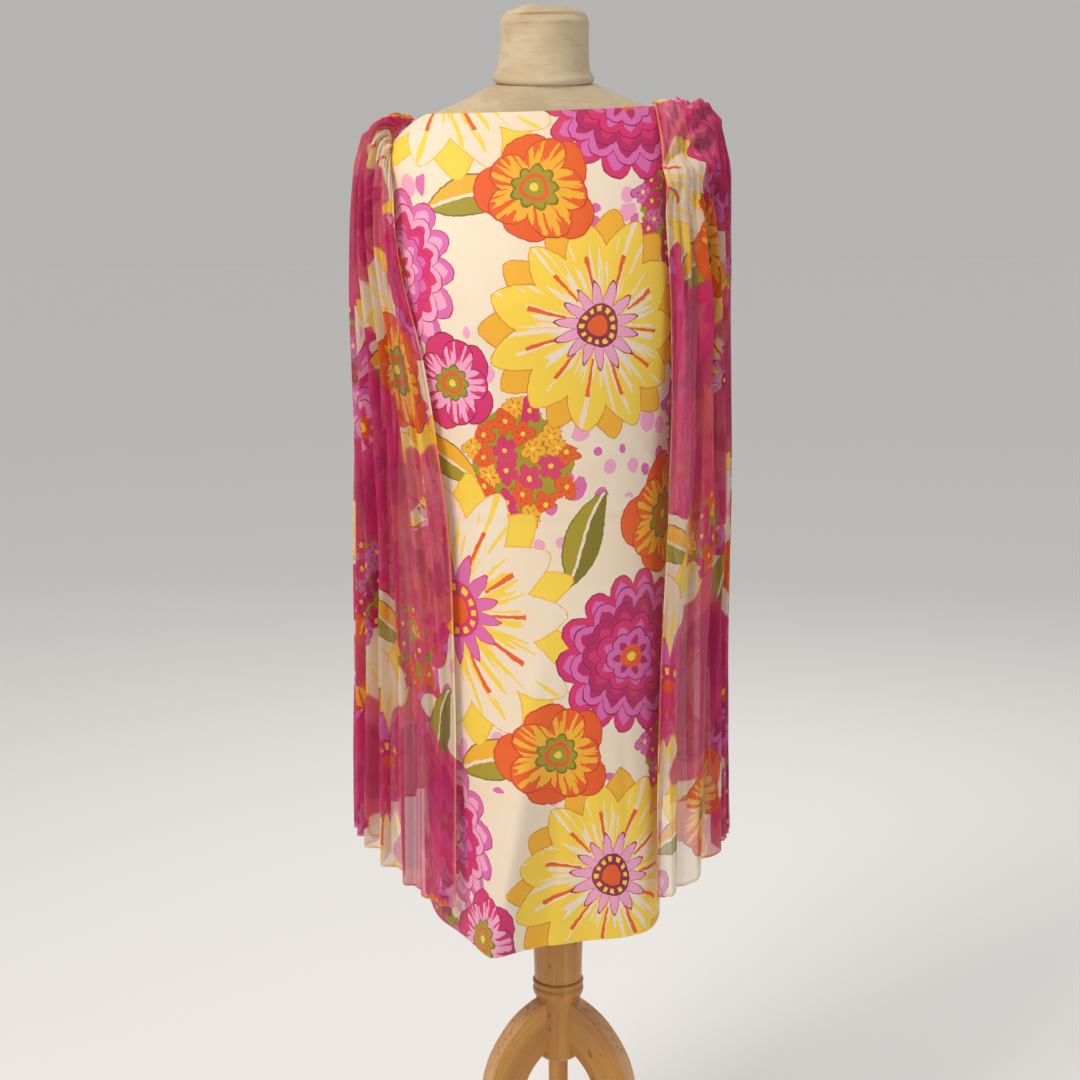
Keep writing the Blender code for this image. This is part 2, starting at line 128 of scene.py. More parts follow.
class Board:
    """One node tree, with short ways to add nodes to it."""

    def __init__(self, tree: bpy.types.NodeTree) -> None:
        """Hold the tree."""
        self.tree = tree

    @classmethod
    def group(
        cls, name: str, takes: dict[str, str], gives: dict[str, str]
    ) -> tuple[Board, bpy.types.Node, bpy.types.Node]:
        """Start a node group.

        Args:
            name: The group's name.
            takes: Each input's name and its socket type, without NodeSocket.
            gives: The same for each output.

        Returns:
            The board, the node that holds the inputs and the node that takes the outputs.
        """
        tree = bpy.data.node_groups.new(name, "ShaderNodeTree")
        for way, sockets in (("INPUT", takes), ("OUTPUT", gives)):
            for socket, kind in sockets.items():
                tree.interface.new_socket(socket, in_out=way, socket_type=f"NodeSocket{kind}")
        return cls(tree), tree.nodes.new("NodeGroupInput"), tree.nodes.new("NodeGroupOutput")

    def add(self, kind: str, **settings: object) -> bpy.types.Node:
        """Add a node.

        Args:
            kind: Its type's name.
            **settings: Its properties.

        Returns:
            The node.
        """
        node = self.tree.nodes.new(kind)
        for name, value in settings.items():
            setattr(node, name, value)
        return node

    def plug(self, node: bpy.types.Node, key: int | str, value: object) -> None:
        """Give a node's input a value or a link.

        Args:
            node: The node.
            key: The input's number or name.
            value: A signal to link, or a number, colour or vector to set.
        """
        if isinstance(value, Signal):
            self.tree.links.new(value.socket, node.inputs[key])
        elif value is not None:
            wide = isinstance(value, tuple) and node.inputs[key].type == "RGBA"
            node.inputs[key].default_value = (*value, 1.0) if wide else value

    def read(self, node: bpy.types.Node, key: int | str = 0) -> Signal:
        """A node's output as a signal."""
        return Signal(self, node.outputs[key])

    def use(self, tree: bpy.types.NodeTree, **values: object) -> bpy.types.Node:
        """Place a node group.

        Args:
            tree: The group.
            **values: What its inputs take, by their names.

        Returns:
            The group's node.
        """
        node = self.add("ShaderNodeGroup", node_tree=tree)
        for name, value in values.items():
            self.plug(node, name, value)
        return node

    def made(
        self, kind: str, inputs: dict[int | str, object], part: int | str = 0, **settings: object
    ) -> Signal:
        """Add a node, fill its inputs and take one output.

        Args:
            kind: Its type's name.
            inputs: What each input takes, by its number or name.
            part: The output's number or name.
            **settings: Its properties.

        Returns:
            The output.
        """
        node = self.add(kind, **settings)
        for key, value in inputs.items():
            self.plug(node, key, value)
        return self.read(node, part)

    def math(self, operation: str, *values: object) -> Signal:
        """A Math node of one operation."""
        return self.made("ShaderNodeMath", dict(enumerate(values)), operation=operation)

    def vector(self, operation: str, *values: object) -> Signal:
        """A Vector Math node of one operation that gives a vector."""
        return self.made("ShaderNodeVectorMath", dict(enumerate(values)), operation=operation)

    def scale(self, vector: Signal, size: Signal | float) -> Signal:
        """A vector times a number."""
        return self.made("ShaderNodeVectorMath", {0: vector, "Scale": size}, operation="SCALE")

    def length(self, vector: Signal) -> Signal:
        """A vector's length."""
        return self.made("ShaderNodeVectorMath", {0: vector}, "Value", operation="LENGTH")

    def compose(self, *values: object) -> Signal:
        """A vector of up to three numbers."""
        return self.made("ShaderNodeCombineXYZ", dict(enumerate(values)))

    def mix(self, share: Signal | float, under: object, over: object) -> Signal:
        """A colour laid over another, by a share."""
        return self.made("ShaderNodeMix", {0: share, 6: under, 7: over}, 2, data_type="RGBA")

    def choose(self, share: Signal, first: Signal, second: Signal) -> Signal:
        """The first vector where the share is 0, and the second where it is 1."""
        return self.made("ShaderNodeMix", {0: share, 4: first, 5: second}, 1, data_type="VECTOR")

    def ease(self, value: Signal, low: float, high: float, start: float = 0.0, stop: float = 1.0) -> Signal:
        """A value that goes smoothly from start to stop while another goes from low to high."""
        inputs = dict(enumerate((value, low, high, start, stop)))
        return self.made("ShaderNodeMapRange", inputs, interpolation_type="SMOOTHSTEP")

    def noise(self, place: Signal, scale: Signal | float, detail: float = 2.0, part: str = "Fac") -> Signal:
        """Even noise of a scale, as a number or, with the part Color, as three."""
        return self.made("ShaderNodeTexNoise", {"Vector": place, "Scale": scale, "Detail": detail}, part)

    def cells(self, place: Signal, scale: float, uneven: float) -> bpy.types.Node:
        """Cells of a scale on a plane, as the node itself, which gives several things."""
        node = self.add("ShaderNodeTexVoronoi", voronoi_dimensions="2D", feature="F1")
        for key, value in (("Vector", place), ("Scale", scale), ("Randomness", uneven)):
            self.plug(node, key, value)
        return node

    def bump(self, height: Signal, distance: float, strength: float) -> Signal:
        """A normal from a height."""
        return self.made("ShaderNodeBump", {"Strength": strength, "Distance": distance, "Height": height})


class Ink(Enum):
    """The print's inks, and the cloth's own cream."""

    CREAM = ink(245, 227, 203)
    LEMON = ink(252, 214, 72)
    GOLD = ink(246, 180, 44)
    AMBER = ink(214, 132, 30)
    FLAME = ink(236, 92, 30)
    RUST = ink(202, 58, 24)
    BLUSH = ink(246, 168, 204)
    ORCHID = ink(222, 104, 178)
    FUCHSIA = ink(218, 42, 112)
    MAGENTA = ink(186, 28, 98)
    WINE = ink(146, 20, 74)
    OLIVE = ink(164, 150, 34)
    MOSS = ink(120, 112, 26)


SECOND_Z = 0.001  # the Z that marks a place in a motif as one of the second colourway


@dataclass(frozen=True)
class Site:
    """One place of a motif in the repeat: its middle, its radius, its colourway and its turn.

    The middle and the radius are in metres, and the turn is in degrees.
    """

    x: float
    y: float
    size: float
    second: bool = False
    turn: float = 0.0


@dataclass(frozen=True)
class Motif:
    """A drawn motif, where it stands in the repeat, and its two colourways, with the same parts in order."""

    name: str
    sites: tuple[Site, ...]
    first: tuple[Ink, ...]
    second: tuple[Ink, ...]

    def nearest(self, board: Board, cloth: Signal, repeat: tuple[float, float]) -> Signal:
        """Find the nearest of the motif's places, in every repeat of the cloth.

        Args:
            board: The node tree.
            cloth: The place on the cloth, in metres.
            repeat: The repeat's width and height.

        Returns:
            The place in that motif, which ends 1 from its middle. Its Z marks the second colourway.
        """
        best = found = None
        for site in self.sites:
            high = (site.x + repeat[0] / 2, site.y + repeat[1] / 2, 1.0)
            low = (site.x - repeat[0] / 2, site.y - repeat[1] / 2, -1.0)
            share = 1 / site.size
            moved = (-site.x * share, -site.y * share, SECOND_Z * site.second)
            wrapped = board.vector("WRAP", cloth, high, low)
            local = board.vector("MULTIPLY_ADD", wrapped, (share, share, 0.0), moved)
            if site.turn:
                inputs = {"Vector": local, "Angle": -math.radians(site.turn)}
                local = board.made("ShaderNodeVectorRotate", inputs, rotation_type="Z_AXIS")
            if best is None:
                best, found = board.length(local), local
                continue
            reach = board.length(local)
            found = board.choose(reach < best, found, local)
            if site is not self.sites[-1]:
                best = board.math("MINIMUM", reach, best)
        return found

    def group(self) -> bpy.types.NodeTree:
        """Build the motif as a node group that paints it over a colour."""
        if self.name in bpy.data.node_groups:
            return bpy.data.node_groups[self.name]
        takes = {"Place": "Vector", "Under": "Color"}
        board, given, result = Board.group(self.name, takes, {"Colour": "Color"})
        x, y, z = board.read(given, 0).parts()
        which = z > SECOND_Z / 2
        pairs = zip(self.first, self.second)
        inks = [a.value if a is b else board.mix(which, a.value, b.value) for a, b in pairs]
        board.plug(result, 0, self.paint(board, x, y, inks, board.read(given, 1)))
        return board.tree

    def paint(self, board: Board, x: Signal, y: Signal, inks: list, under: Signal) -> Signal:
        """Paint the motif over a colour. Each kind of motif has its own way.

        Args:
            board: The node tree.
            x: The place across the motif.
            y: The place up it.
            inks: Its inks, in its own order.
            under: The colour to paint over.

        Returns:
            The painted colour.
        """
        raise NotImplementedError

    @staticmethod
    def polar(board: Board, x: Signal, y: Signal, uneven: float = 0.0) -> tuple[Signal, Signal]:
        """A place's distance from the middle, and how far round it is as a share of a whole turn.

        Args:
            board: The node tree.
            x: The place across.
            y: The place up.
            uneven: How much longer the flower is on one side than on another.

        Returns:
            The distance and the turn.
        """
        turn = board.math("ARCTAN2", y, x) / math.tau
        reach = board.length(board.compose(x, y))
        if uneven:
            lopsided = board.math("MULTIPLY_ADD", turn, 3 * math.tau, 1.0).sine()
            reach = reach * board.math("MULTIPLY_ADD", lopsided, uneven, 1.0)
        return reach, turn

    @staticmethod
    def side(board: Board, turn: Signal, count: int, phase: float = 0.0) -> Signal:
        """How far a place is across its petal, from 0 on its middle to 1 at its edge."""
        petals = board.math("MULTIPLY_ADD", turn, float(2 * count), 2 * phase + 4 * count)
        return board.math("PINGPONG", petals, 1.0)

    @staticmethod
    def lobes(board: Board, reach: Signal, side: Signal, tip: float, dip: float, roundness: float) -> Signal:
        """How far inside a ring of petals a place is: above 0 where it is inside."""
        return board.math("MULTIPLY_ADD", side ** roundness, -tip * dip, tip) - reach

    @staticmethod
    def outlined(
        board: Board, under: Signal, inside: Signal, edge: float, line: object, ink: object
    ) -> Signal:
        """Paint a shape over a colour, with a line along its edge.

        Args:
            board: The node tree.
            under: The colour to paint over.
            inside: How far inside the shape a place is.
            edge: The line's width.
            line: The line's ink.
            ink: The shape's own ink.

        Returns:
            The painted colour.
        """
        return board.mix(inside > edge, board.mix(inside > 0.0, under, line), ink)


@dataclass(frozen=True)
class Sunburst(Motif):
    """Two rows of slim pointed petals, streaked from the root, round a dotted eye."""

    petals: int = 11

    def row(
        self, board: Board, reach: Signal, side: Signal, ends: tuple[float, float], broad: float
    ) -> Signal:
        """One row of petals.

        Args:
            board: The node tree.
            reach: The distance from the middle.
            side: The place across the petal.
            ends: Where the petals start and where they end.
            broad: Half of a petal's greatest width.

        Returns:
            How far inside a petal a place is.
        """
        root, tip = ends
        share = board.math("MULTIPLY_ADD", reach, math.pi / (tip - root), -math.pi * root / (tip - root))
        swell = board.math("MAXIMUM", share.sine(), 0.0) ** 0.62
        inside = board.math("MULTIPLY_ADD", swell, broad, side * reach * (-math.pi / self.petals))
        return board.math("MINIMUM", inside, tip - reach)

    def paint(self, board: Board, x: Signal, y: Signal, inks: list, under: Signal) -> Signal:
        """Paint the back row, the front row with its streaks, the ruff and the eye."""
        line, behind, before, streak, ruff, dark = inks
        reach, turn = self.polar(board, x, y, 0.06)
        inside = self.row(board, reach, self.side(board, turn, self.petals, 0.5), (0.16, 1.0), 0.200)
        colour = self.outlined(board, under, inside, 0.013, line, behind)
        across = self.side(board, turn, self.petals)
        inside = self.row(board, reach, across, (0.12, 0.93), 0.215)
        colour = self.outlined(board, colour, inside, 0.011, line, before)
        bristles = board.noise(board.compose(turn * 68.0, reach * 1.6), 1.0, 1.0)
        wanted = board.math("MULTIPLY_ADD", reach, 0.34, 0.37)
        colour = board.mix((bristles > wanted) * (inside > 0.020), colour, streak)
        colour = board.mix((across < 0.11) * (abs(reach - 0.46) < 0.15), colour, Ink.FLAME.value)
        inside = self.lobes(board, reach, self.side(board, turn, 14, 0.3), 0.40, 0.46, 1.4)
        colour = self.outlined(board, colour, inside, 0.020, dark, ruff)
        colour = board.mix(reach < 0.195, colour, dark)
        dots = (self.side(board, turn, 12) < 0.5) * (abs(reach - 0.150) < 0.022)
        colour = board.mix(dots, colour, Ink.LEMON.value)
        return board.mix(reach < 0.095, colour, Ink.FLAME.value)


@dataclass(frozen=True)
class Dahlia(Motif):
    """Rings of round petals, each ring over the one outside it."""

    rings: tuple[tuple[int, float], ...] = ((14, 1.00), (13, 0.83), (11, 0.67), (9, 0.51), (7, 0.35))

    def paint(self, board: Board, x: Signal, y: Signal, inks: list, under: Signal) -> Signal:
        """Paint the rings from the outside in, each with a dark edge and a shaded root, and then the eye."""
        reach, turn = self.polar(board, x, y, 0.05)
        colour = under
        for number, (count, tip) in enumerate(self.rings):
            side = self.side(board, turn, count, 0.37 * number)
            inside = self.lobes(board, reach, side, tip, 0.17, 2.3)
            colour = self.outlined(board, colour, inside, 0.017, inks[0], inks[1 + number % 3])
            root = (board.math("MULTIPLY_ADD", side, -0.10, inside) > 0.085) * (side < 0.62)
            colour = board.mix(root, colour, inks[1 + (number + 1) % 3])
        colour = board.mix(reach < 0.15, colour, Ink.FLAME.value)
        return board.mix(reach < 0.06, colour, Ink.LEMON.value)


@dataclass(frozen=True)
class Poppy(Motif):
    """Five broad petals with rayed throats round a green eye."""

    def paint(self, board: Board, x: Signal, y: Signal, inks: list, under: Signal) -> Signal:
        """Paint the petals, the rays, the stamens and the eye."""
        line, petal, throat = inks
        reach, turn = self.polar(board, x, y, 0.07)
        inside = self.lobes(board, reach, self.side(board, turn, 5, 0.5), 1.0, 0.30, 2.6)
        colour = self.outlined(board, under, inside, 0.025, line, petal)
        before = self.side(board, turn, 5)
        inside = self.lobes(board, reach, before, 0.86, 0.34, 2.4)
        colour = self.outlined(board, colour, inside, 0.028, line, petal)
        bristles = board.noise(board.compose(turn * 46.0, reach * 1.2), 1.0, 1.0)
        wanted = board.math("MULTIPLY_ADD", reach, 0.42, 0.22)
        colour = board.mix((bristles > wanted) * (inside > 0.04), colour, throat)
        eye = self.lobes(board, reach, self.side(board, turn, 9), 0.40, 0.24, 1.8)
        colour = self.outlined(board, colour, eye, 0.04, Ink.MOSS.value, Ink.OLIVE.value)
        colour = board.mix(abs(reach - 0.20) < 0.035, colour, Ink.FLAME.value)
        return board.mix(reach < 0.07, colour, Ink.LEMON.value)


@dataclass(frozen=True)
class Florets(Motif):
    """A head of small five-petalled flowers."""

    crowd: float = 3.1  # flowers in the radius of a head

    def paint(self, board: Board, x: Signal, y: Signal, inks: list, under: Signal) -> Signal:
        """Paint the green ground of the head, and each flower in one of three pinks."""
        line, light, middle, dark = inks
        place = board.compose(x, y)
        cells = board.cells(place, self.crowd, 0.75)
        heart = board.read(cells, "Position")
        own = board.scale(board.vector("SUBTRACT", place, heart), self.crowd)
        shown = board.length(heart) < 0.84
        chance, tilt, _ = board.read(cells, "Color").parts()
        across, up, _ = own.parts()
        reach, turn = self.polar(board, across, up)
        side = self.side(board, turn + tilt, 5)
        inside = self.lobes(board, reach, side, 0.62, 0.44, 1.9)
        ground = (board.length(place) < 0.78) * (inside < 0.02)
        colour = board.mix(ground, under, Ink.OLIVE.value)
        shade = board.mix(chance > 0.38, middle, dark)
        shade = board.mix(chance > 0.62, shade, light)
        colour = board.mix((inside > -0.045) * shown, colour, line)
        colour = board.mix((inside > 0.0) * shown, colour, shade)
        colour = board.mix((side < 0.13) * (reach < 0.36) * shown, colour, line)
        return board.mix((reach < 0.11) * shown, colour, Ink.LEMON.value)


@dataclass(frozen=True)
class Leaf(Motif):
    """A pointed leaf in two greens with a light rib."""

    def paint(self, board: Board, x: Signal, y: Signal, inks: list, under: Signal) -> Signal:
        """Paint the two halves and the rib."""
        line, upper, lower = inks
        arch = 1 - x * x
        y = board.math("MULTIPLY_ADD", arch, -0.12, y)
        inside = board.math("MULTIPLY_ADD", arch, 0.36, abs(y) * -1.0)
        colour = self.outlined(board, under, inside, 0.03, line, lower)
        colour = board.mix((inside > 0.03) * (y > 0.0), colour, upper)
        return board.mix((abs(y) < 0.028) * (inside > 0.03), colour, Ink.CREAM.value)


@dataclass(frozen=True)
class Dabs(Motif):
    """Scattered dabs of a brush on the cloth's own cream, all over. It needs no sites."""

    crowd: float = 30.0  # dabs in a metre
    cover: float = 0.40

    def nearest(self, board: Board, cloth: Signal, repeat: tuple[float, float]) -> Signal:
        """The place on the cloth itself."""
        return cloth

    def paint(self, board: Board, x: Signal, y: Signal, inks: list, under: Signal) -> Signal:
        """Paint crescents, where a slow mask has them."""
        cells = board.cells(board.compose(x * 1.25, y), self.crowd, 0.9)
        chance, tall, _ = board.read(cells, "Color").parts()
        where = board.noise(board.compose(x, y), 7.5, 0.0)
        wanted = (where + (chance - 0.5) * 0.16) > (0.62 - self.cover * 0.25)
        inside = board.read(cells, "Distance") < board.math("MULTIPLY_ADD", tall, 0.26, 0.16)
        shade = board.mix(chance > 0.5, inks[0], inks[1])
        return board.mix(wanted * inside, under, shade)


@dataclass(frozen=True)
class FloralPrint:
    """The printed cloth: its repeat in metres, how unsteady its lines are, and its motifs, in turn."""

    name: str = "floral_print"
    repeat: tuple[float, float] = (0.44, 0.62)
    wobble: float = 0.020
    tremble: float = 0.0030
    motifs: tuple[Motif, ...] = (
        Dabs("print_dabs", (), (Ink.ORCHID, Ink.BLUSH), (Ink.ORCHID, Ink.BLUSH)),
        Leaf(
            "print_leaf",
            (
                Site(0.170, 0.288, 0.060, False, 10), Site(0.285, 0.535, 0.058, True, 65),
                Site(0.425, 0.130, 0.056, True, 110), Site(0.120, 0.620, 0.056, False, -25),
            ),
            (Ink.MOSS, Ink.GOLD, Ink.OLIVE),
            (Ink.MOSS, Ink.OLIVE, Ink.MOSS),
        ),
        Florets(
            "print_florets",
            (Site(0.410, 0.285, 0.076), Site(0.215, 0.008, 0.074, True), Site(0.030, 0.040, 0.084)),
            (Ink.WINE, Ink.ORCHID, Ink.FUCHSIA, Ink.MAGENTA),
            (Ink.RUST, Ink.GOLD, Ink.FLAME, Ink.FUCHSIA),
        ),
        Sunburst(
            "print_sunburst",
            (Site(0.130, 0.455, 0.150), Site(0.300, 0.150, 0.124, True)),
            (Ink.GOLD, Ink.LEMON, Ink.CREAM, Ink.LEMON, Ink.ORCHID, Ink.FUCHSIA),
            (Ink.AMBER, Ink.GOLD, Ink.LEMON, Ink.CREAM, Ink.BLUSH, Ink.WINE),
        ),
        Dahlia(
            "print_dahlia",
            (Site(0.060, 0.208, 0.092), Site(0.342, 0.402, 0.094, True)),
            (Ink.MAGENTA, Ink.ORCHID, Ink.BLUSH, Ink.FUCHSIA),
            (Ink.WINE, Ink.FUCHSIA, Ink.ORCHID, Ink.MAGENTA),
        ),
        Poppy(
            "print_poppy",
            (Site(0.238, 0.300, 0.066), Site(0.132, 0.090, 0.056, True), Site(0.398, 0.552, 0.068)),
            (Ink.RUST, Ink.FLAME, Ink.GOLD),
            (Ink.WINE, Ink.FUCHSIA, Ink.BLUSH),
        ),
    )

    def group(self) -> bpy.types.NodeTree:
        """Build the print as a node group, from a place on the cloth and the ground's colour to a colour."""
        if self.name in bpy.data.node_groups:
            return bpy.data.node_groups[self.name]
        takes = {"Cloth": "Vector", "Ground": "Color"}
        board, given, result = Board.group(self.name, takes, {"Colour": "Color"})
        cloth = board.read(given)
        slow = board.noise(cloth, 11.0, 0.0, "Color")
        cloth = board.vector("MULTIPLY_ADD", slow, (self.wobble,) * 3, cloth)
        fast = board.noise(cloth, 150.0, 1.0, "Color")
        cloth = board.vector("MULTIPLY_ADD", fast, (self.tremble,) * 3, cloth)
        colour = board.read(given, 1)
        for motif in self.motifs:
            place = motif.nearest(board, cloth, self.repeat)
            colour = board.read(board.use(motif.group(), Place=place, Under=colour))
        board.plug(result, 0, colour)
        return board.tree


class Effects:
    """Effects that several finishes share, each a node group that is built once."""

    def __init__(self) -> None:
        """Build every group."""
        self.weave = self.make_weave()
        self.pebble = self.make_pebble()
        self.slow = self.make_slow()
        self.grain = self.make_grain()

    @staticmethod
    def make_weave() -> bpy.types.NodeTree:
        """A plain weave's height, from a place in metres and the threads in a metre."""
        takes = {"Place": "Vector", "Threads": "Float"}
        board, given, result = Board.group("weave", takes, {"Height": "Float"})
        place, threads = board.read(given, 0), board.read(given, 1)
        uneven = board.vector("SUBTRACT", board.noise(place, 90.0, 1.0, "Color"), (0.5, 0.5, 0.5))
        place = board.vector("ADD", place, board.scale(uneven, 0.0016))
        x, y, _ = board.scale(place, threads).parts()
        over = (x * math.pi).sine() * (y * math.pi).sine()
        warp, weft = abs((x * math.pi).sine()), abs((y * math.pi).sine())
        picked = over > 0.0
        board.plug(result, 0, weft + (warp - weft) * picked)
        return board.tree

    @staticmethod
    def make_pebble() -> bpy.types.NodeTree:
        """A crepe's pebbled height, from a place in metres and a scale."""
        takes = {"Place": "Vector", "Scale": "Float"}
        board, given, result = Board.group("pebble", takes, {"Height": "Float"})
        x, y, _ = board.scale(board.read(given, 0), board.read(given, 1)).parts()
        board.plug(result, 0, board.noise(board.compose(x * 1.6, y), 1.0, 1.0))
        return board.tree

    @staticmethod
    def make_slow() -> bpy.types.NodeTree:
        """A slow, soft mask, from a place in metres, a scale and the share of the surface that it covers."""
        takes = {"Place": "Vector", "Scale": "Float", "Cover": "Float"}
        board, given, result = Board.group("slow_change", takes, {"Mask": "Float"})
        drifting = board.noise(board.read(given, 0), board.read(given, 1), 1.5)
        edge = 0.72 - board.read(given, 2) * 0.42
        board.plug(result, 0, board.ease(drifting - edge, -0.07, 0.07))
        return board.tree

    @staticmethod
    def make_grain() -> bpy.types.NodeTree:
        """Wood grain, from a place with the grain along X: its broad figure, its fine lines and its pores."""
        gives = {"Figure": "Float", "Lines": "Float", "Pores": "Float"}
        board, given, result = Board.group("wood_grain", {"Place": "Vector"}, gives)
        x, y, z = board.read(given).parts()
        bent = board.noise(board.compose(x * 2.2, y * 9.0, z * 9.0), 1.0, 1.0)
        rings = board.noise(board.compose(x * 1.4 + bent * 0.5, y * 42.0, z * 42.0 + bent * 2.0), 1.0, 2.0)
        board.plug(result, 0, board.ease(rings, 0.34, 0.66))
        lines = board.noise(board.compose(x * 6.0, y * 420.0, z * 420.0), 1.0, 3.0)
        board.plug(result, 1, lines)
        pores = board.noise(board.compose(x * 60.0, y * 1500.0, z * 1500.0), 1.0, 1.0)
        board.plug(result, 2, board.ease(pores, 0.60, 0.68))
        return board.tree


@dataclass(frozen=True)
class Finish:
    """A finish: the name of its material and how rough it is."""

    name: str
    roughness: float

    def build(self, effects: Effects) -> bpy.types.Material:
        """Build the material.

        Args:
            effects: The shared effects.

        Returns:
            The material.
        """
        material = bpy.data.materials.new(self.name)
        material.use_nodes = True
        board = Board(material.node_tree)
        shader = material.node_tree.nodes["Principled BSDF"]
        shader.inputs["Roughness"].default_value = self.roughness
        self.dress(board, shader, effects)
        return material

    def dress(self, board: Board, shader: bpy.types.Node, effects: Effects) -> None:
        """Feed the shader. Each finish has its own way."""
        raise NotImplementedError

    @staticmethod
    def flat_cloth(board: Board) -> Signal:
        """A place on the cloth's flat cut, in metres."""
        return board.read(board.add("ShaderNodeTexCoord"), "UV")

    @staticmethod
    def place(board: Board) -> Signal:
        """A place on the piece, in metres."""
        return board.read(board.add("ShaderNodeTexCoord"), "Object")

    @staticmethod
    def marked(board: Board, name: str, part: str = "Fac") -> Signal:
        """A mark that the mesh carries, as a number or, with the part Vector, as three."""
        return board.read(board.add("ShaderNodeAttribute", attribute_name=name), part)


@dataclass(frozen=True)
class PrintedCrepe(Finish):
    """Matt printed crepe: flat inks on cream cloth, with a pebbled face."""

    printed: FloralPrint = FloralPrint()
    painted_shade: Colour = (0.30, 0.22, 0.20)  # painted shade between the pebbles

    def dress(self, board: Board, shader: bpy.types.Node, effects: Effects) -> None:
        """Print the cloth, give it its pebbles with painted shade between them, and slow changes of tone."""
        cloth = self.flat_cloth(board)
        colour = board.read(board.use(self.printed.group(), Cloth=cloth, Ground=Ink.CREAM.value))
        pebble = board.read(board.use(effects.pebble, Place=cloth, Scale=1500.0))
        aged = board.read(board.use(effects.slow, Place=cloth, Scale=9.0, Cover=0.5))
        toned = board.mix(aged * 0.06, colour, Ink.GOLD.value)
        # painted shade: the cloth is darkened where the pebbles sink
        pit_shaded = board.mix(board.ease(pebble, 0.38, 0.62, 0.10, 0.0), toned, self.painted_shade)
        board.plug(shader, "Base Color", pit_shaded)
        rough = board.ease(pebble, 0.3, 0.7, self.roughness + 0.08, self.roughness - 0.06)
        board.plug(shader, "Roughness", rough)
        board.plug(shader, "Normal", board.bump(pebble, 0.00022, 0.35))
        board.plug(shader, "Sheen Weight", 0.12)
        board.plug(shader, "Sheen Roughness", 0.4)
        board.plug(shader, "Specular IOR Level", 0.35)


@dataclass(frozen=True)
class PrintedChiffon(Finish):
    """Sheer printed chiffon, denser where it is inked, where it turns away and along its rolled edges."""

    printed: FloralPrint = FloralPrint()
    cover: float = 0.32  # of each face of the cloth, so 0.54 in all
    slant_cover: float = 0.34  # what is added where the cloth turns away
    ink_cover: float = 0.14  # what is added under the strongest ink
    bands: float = 3.2  # deep patches in each metre up
    phase: float = 5.43  # how far the first of them is shifted, in radians

    def dress(self, board: Board, shader: bpy.types.Node, effects: Effects) -> None:
        """Print the cloth and let light through it."""
        cloth = self.flat_cloth(board)
        _, y, _ = cloth.parts()
        waves = (y * (self.bands * math.tau) + self.phase).sine()
        patches = board.math("MULTIPLY_ADD", board.noise(cloth, 6.5, 2.0), 3.0, waves * 0.34 - 0.42)
        ground = board.mix(patches > 0.95, Ink.CREAM.value, Ink.FUCHSIA.value)
        colour = board.read(board.use(self.printed.group(), Cloth=cloth, Ground=ground))
        colour = board.mix(board.ease(patches, 1.06, 1.10, 0.0, 0.86), colour, Ink.FUCHSIA.value)
        colour = board.mix(board.ease(patches, 1.36, 1.40, 0.0, 0.60), colour, Ink.MAGENTA.value)
        pebble = board.read(board.use(effects.pebble, Place=cloth, Scale=1900.0))
        rolled = self.marked(board, "rolled_edge")
        turned = board.read(board.add("ShaderNodeLayerWeight"), "Facing")
        cover = board.math("MULTIPLY_ADD", turned, self.slant_cover, self.cover)
        cover = board.math("MAXIMUM", cover + self.saturation(board, colour) * self.ink_cover, rolled)
        board.plug(shader, "Base Color", board.mix(rolled * 0.35, colour, Ink.GOLD.value))
        board.plug(shader, "Alpha", board.math("MINIMUM", cover, 1.0))
        board.plug(shader, "Normal", board.bump(pebble, 0.00018, 0.3))
        board.plug(shader, "Sheen Weight", 0.25)
        board.plug(shader, "Sheen Roughness", 0.35)
        board.plug(shader, "Specular IOR Level", 0.4)

    @staticmethod
    def saturation(board: Board, colour: Signal) -> Signal:
        """How strong a colour is."""
        return board.made("ShaderNodeSeparateColor", {0: colour}, 1, mode="HSV")


@dataclass(frozen=True)
class Calico(Finish):
    """Cream calico stretched over the form, a little soiled with use, with painted shade along its puckers
    and between its threads.
    """

    clean: Colour = ink(216, 197, 164)
    soiled: Colour = ink(188, 165, 128)
    # painted shade along the puckers
    pucker_shade: Colour = ink(178, 156, 122)
    painted_shade: Colour = ink(168, 148, 112)  # painted shade between the threads
    slubbed: Colour = ink(150, 128, 92)

    def dress(self, board: Board, shader: bpy.types.Node, effects: Effects) -> None:
        """Weave the cloth, soil it, and paint shade along its puckers and between its threads."""
        place = self.place(board)
        cloth = self.flat_cloth(board)
        weave = board.read(board.use(effects.weave, Place=cloth, Threads=1900.0))
        slubs = board.noise(board.vector("MULTIPLY", cloth, (180.0, 1400.0, 1.0)), 1.0, 1.0)
        puckers = board.noise(board.vector("MULTIPLY", place, (60.0, 60.0, 190.0)), 1.0, 2.0)
        soil = board.read(board.use(effects.slow, Place=place, Scale=16.0, Cover=0.45))
        shade = board.mix(soil * 0.5, self.clean, self.soiled)
        # painted shade along the puckers
        shade = board.mix(board.ease(puckers, 0.45, 0.75, 0.0, 0.30), shade, self.pucker_shade)
        # painted shade between the threads
        shade = board.mix(board.ease(weave, 0.0, 0.8, 0.35, 0.0), shade, self.painted_shade)
        shade = board.mix(board.ease(slubs, 0.66, 0.72, 0.0, 0.25), shade, self.slubbed)
        board.plug(shader, "Base Color", shade)
        height = weave * 0.3 + slubs * 0.3 + puckers * 2.5
        board.plug(shader, "Normal", board.bump(height, 0.0006, 0.6))
        board.plug(shader, "Sheen Weight", 0.1)
        board.plug(shader, "Specular IOR Level", 0.2)


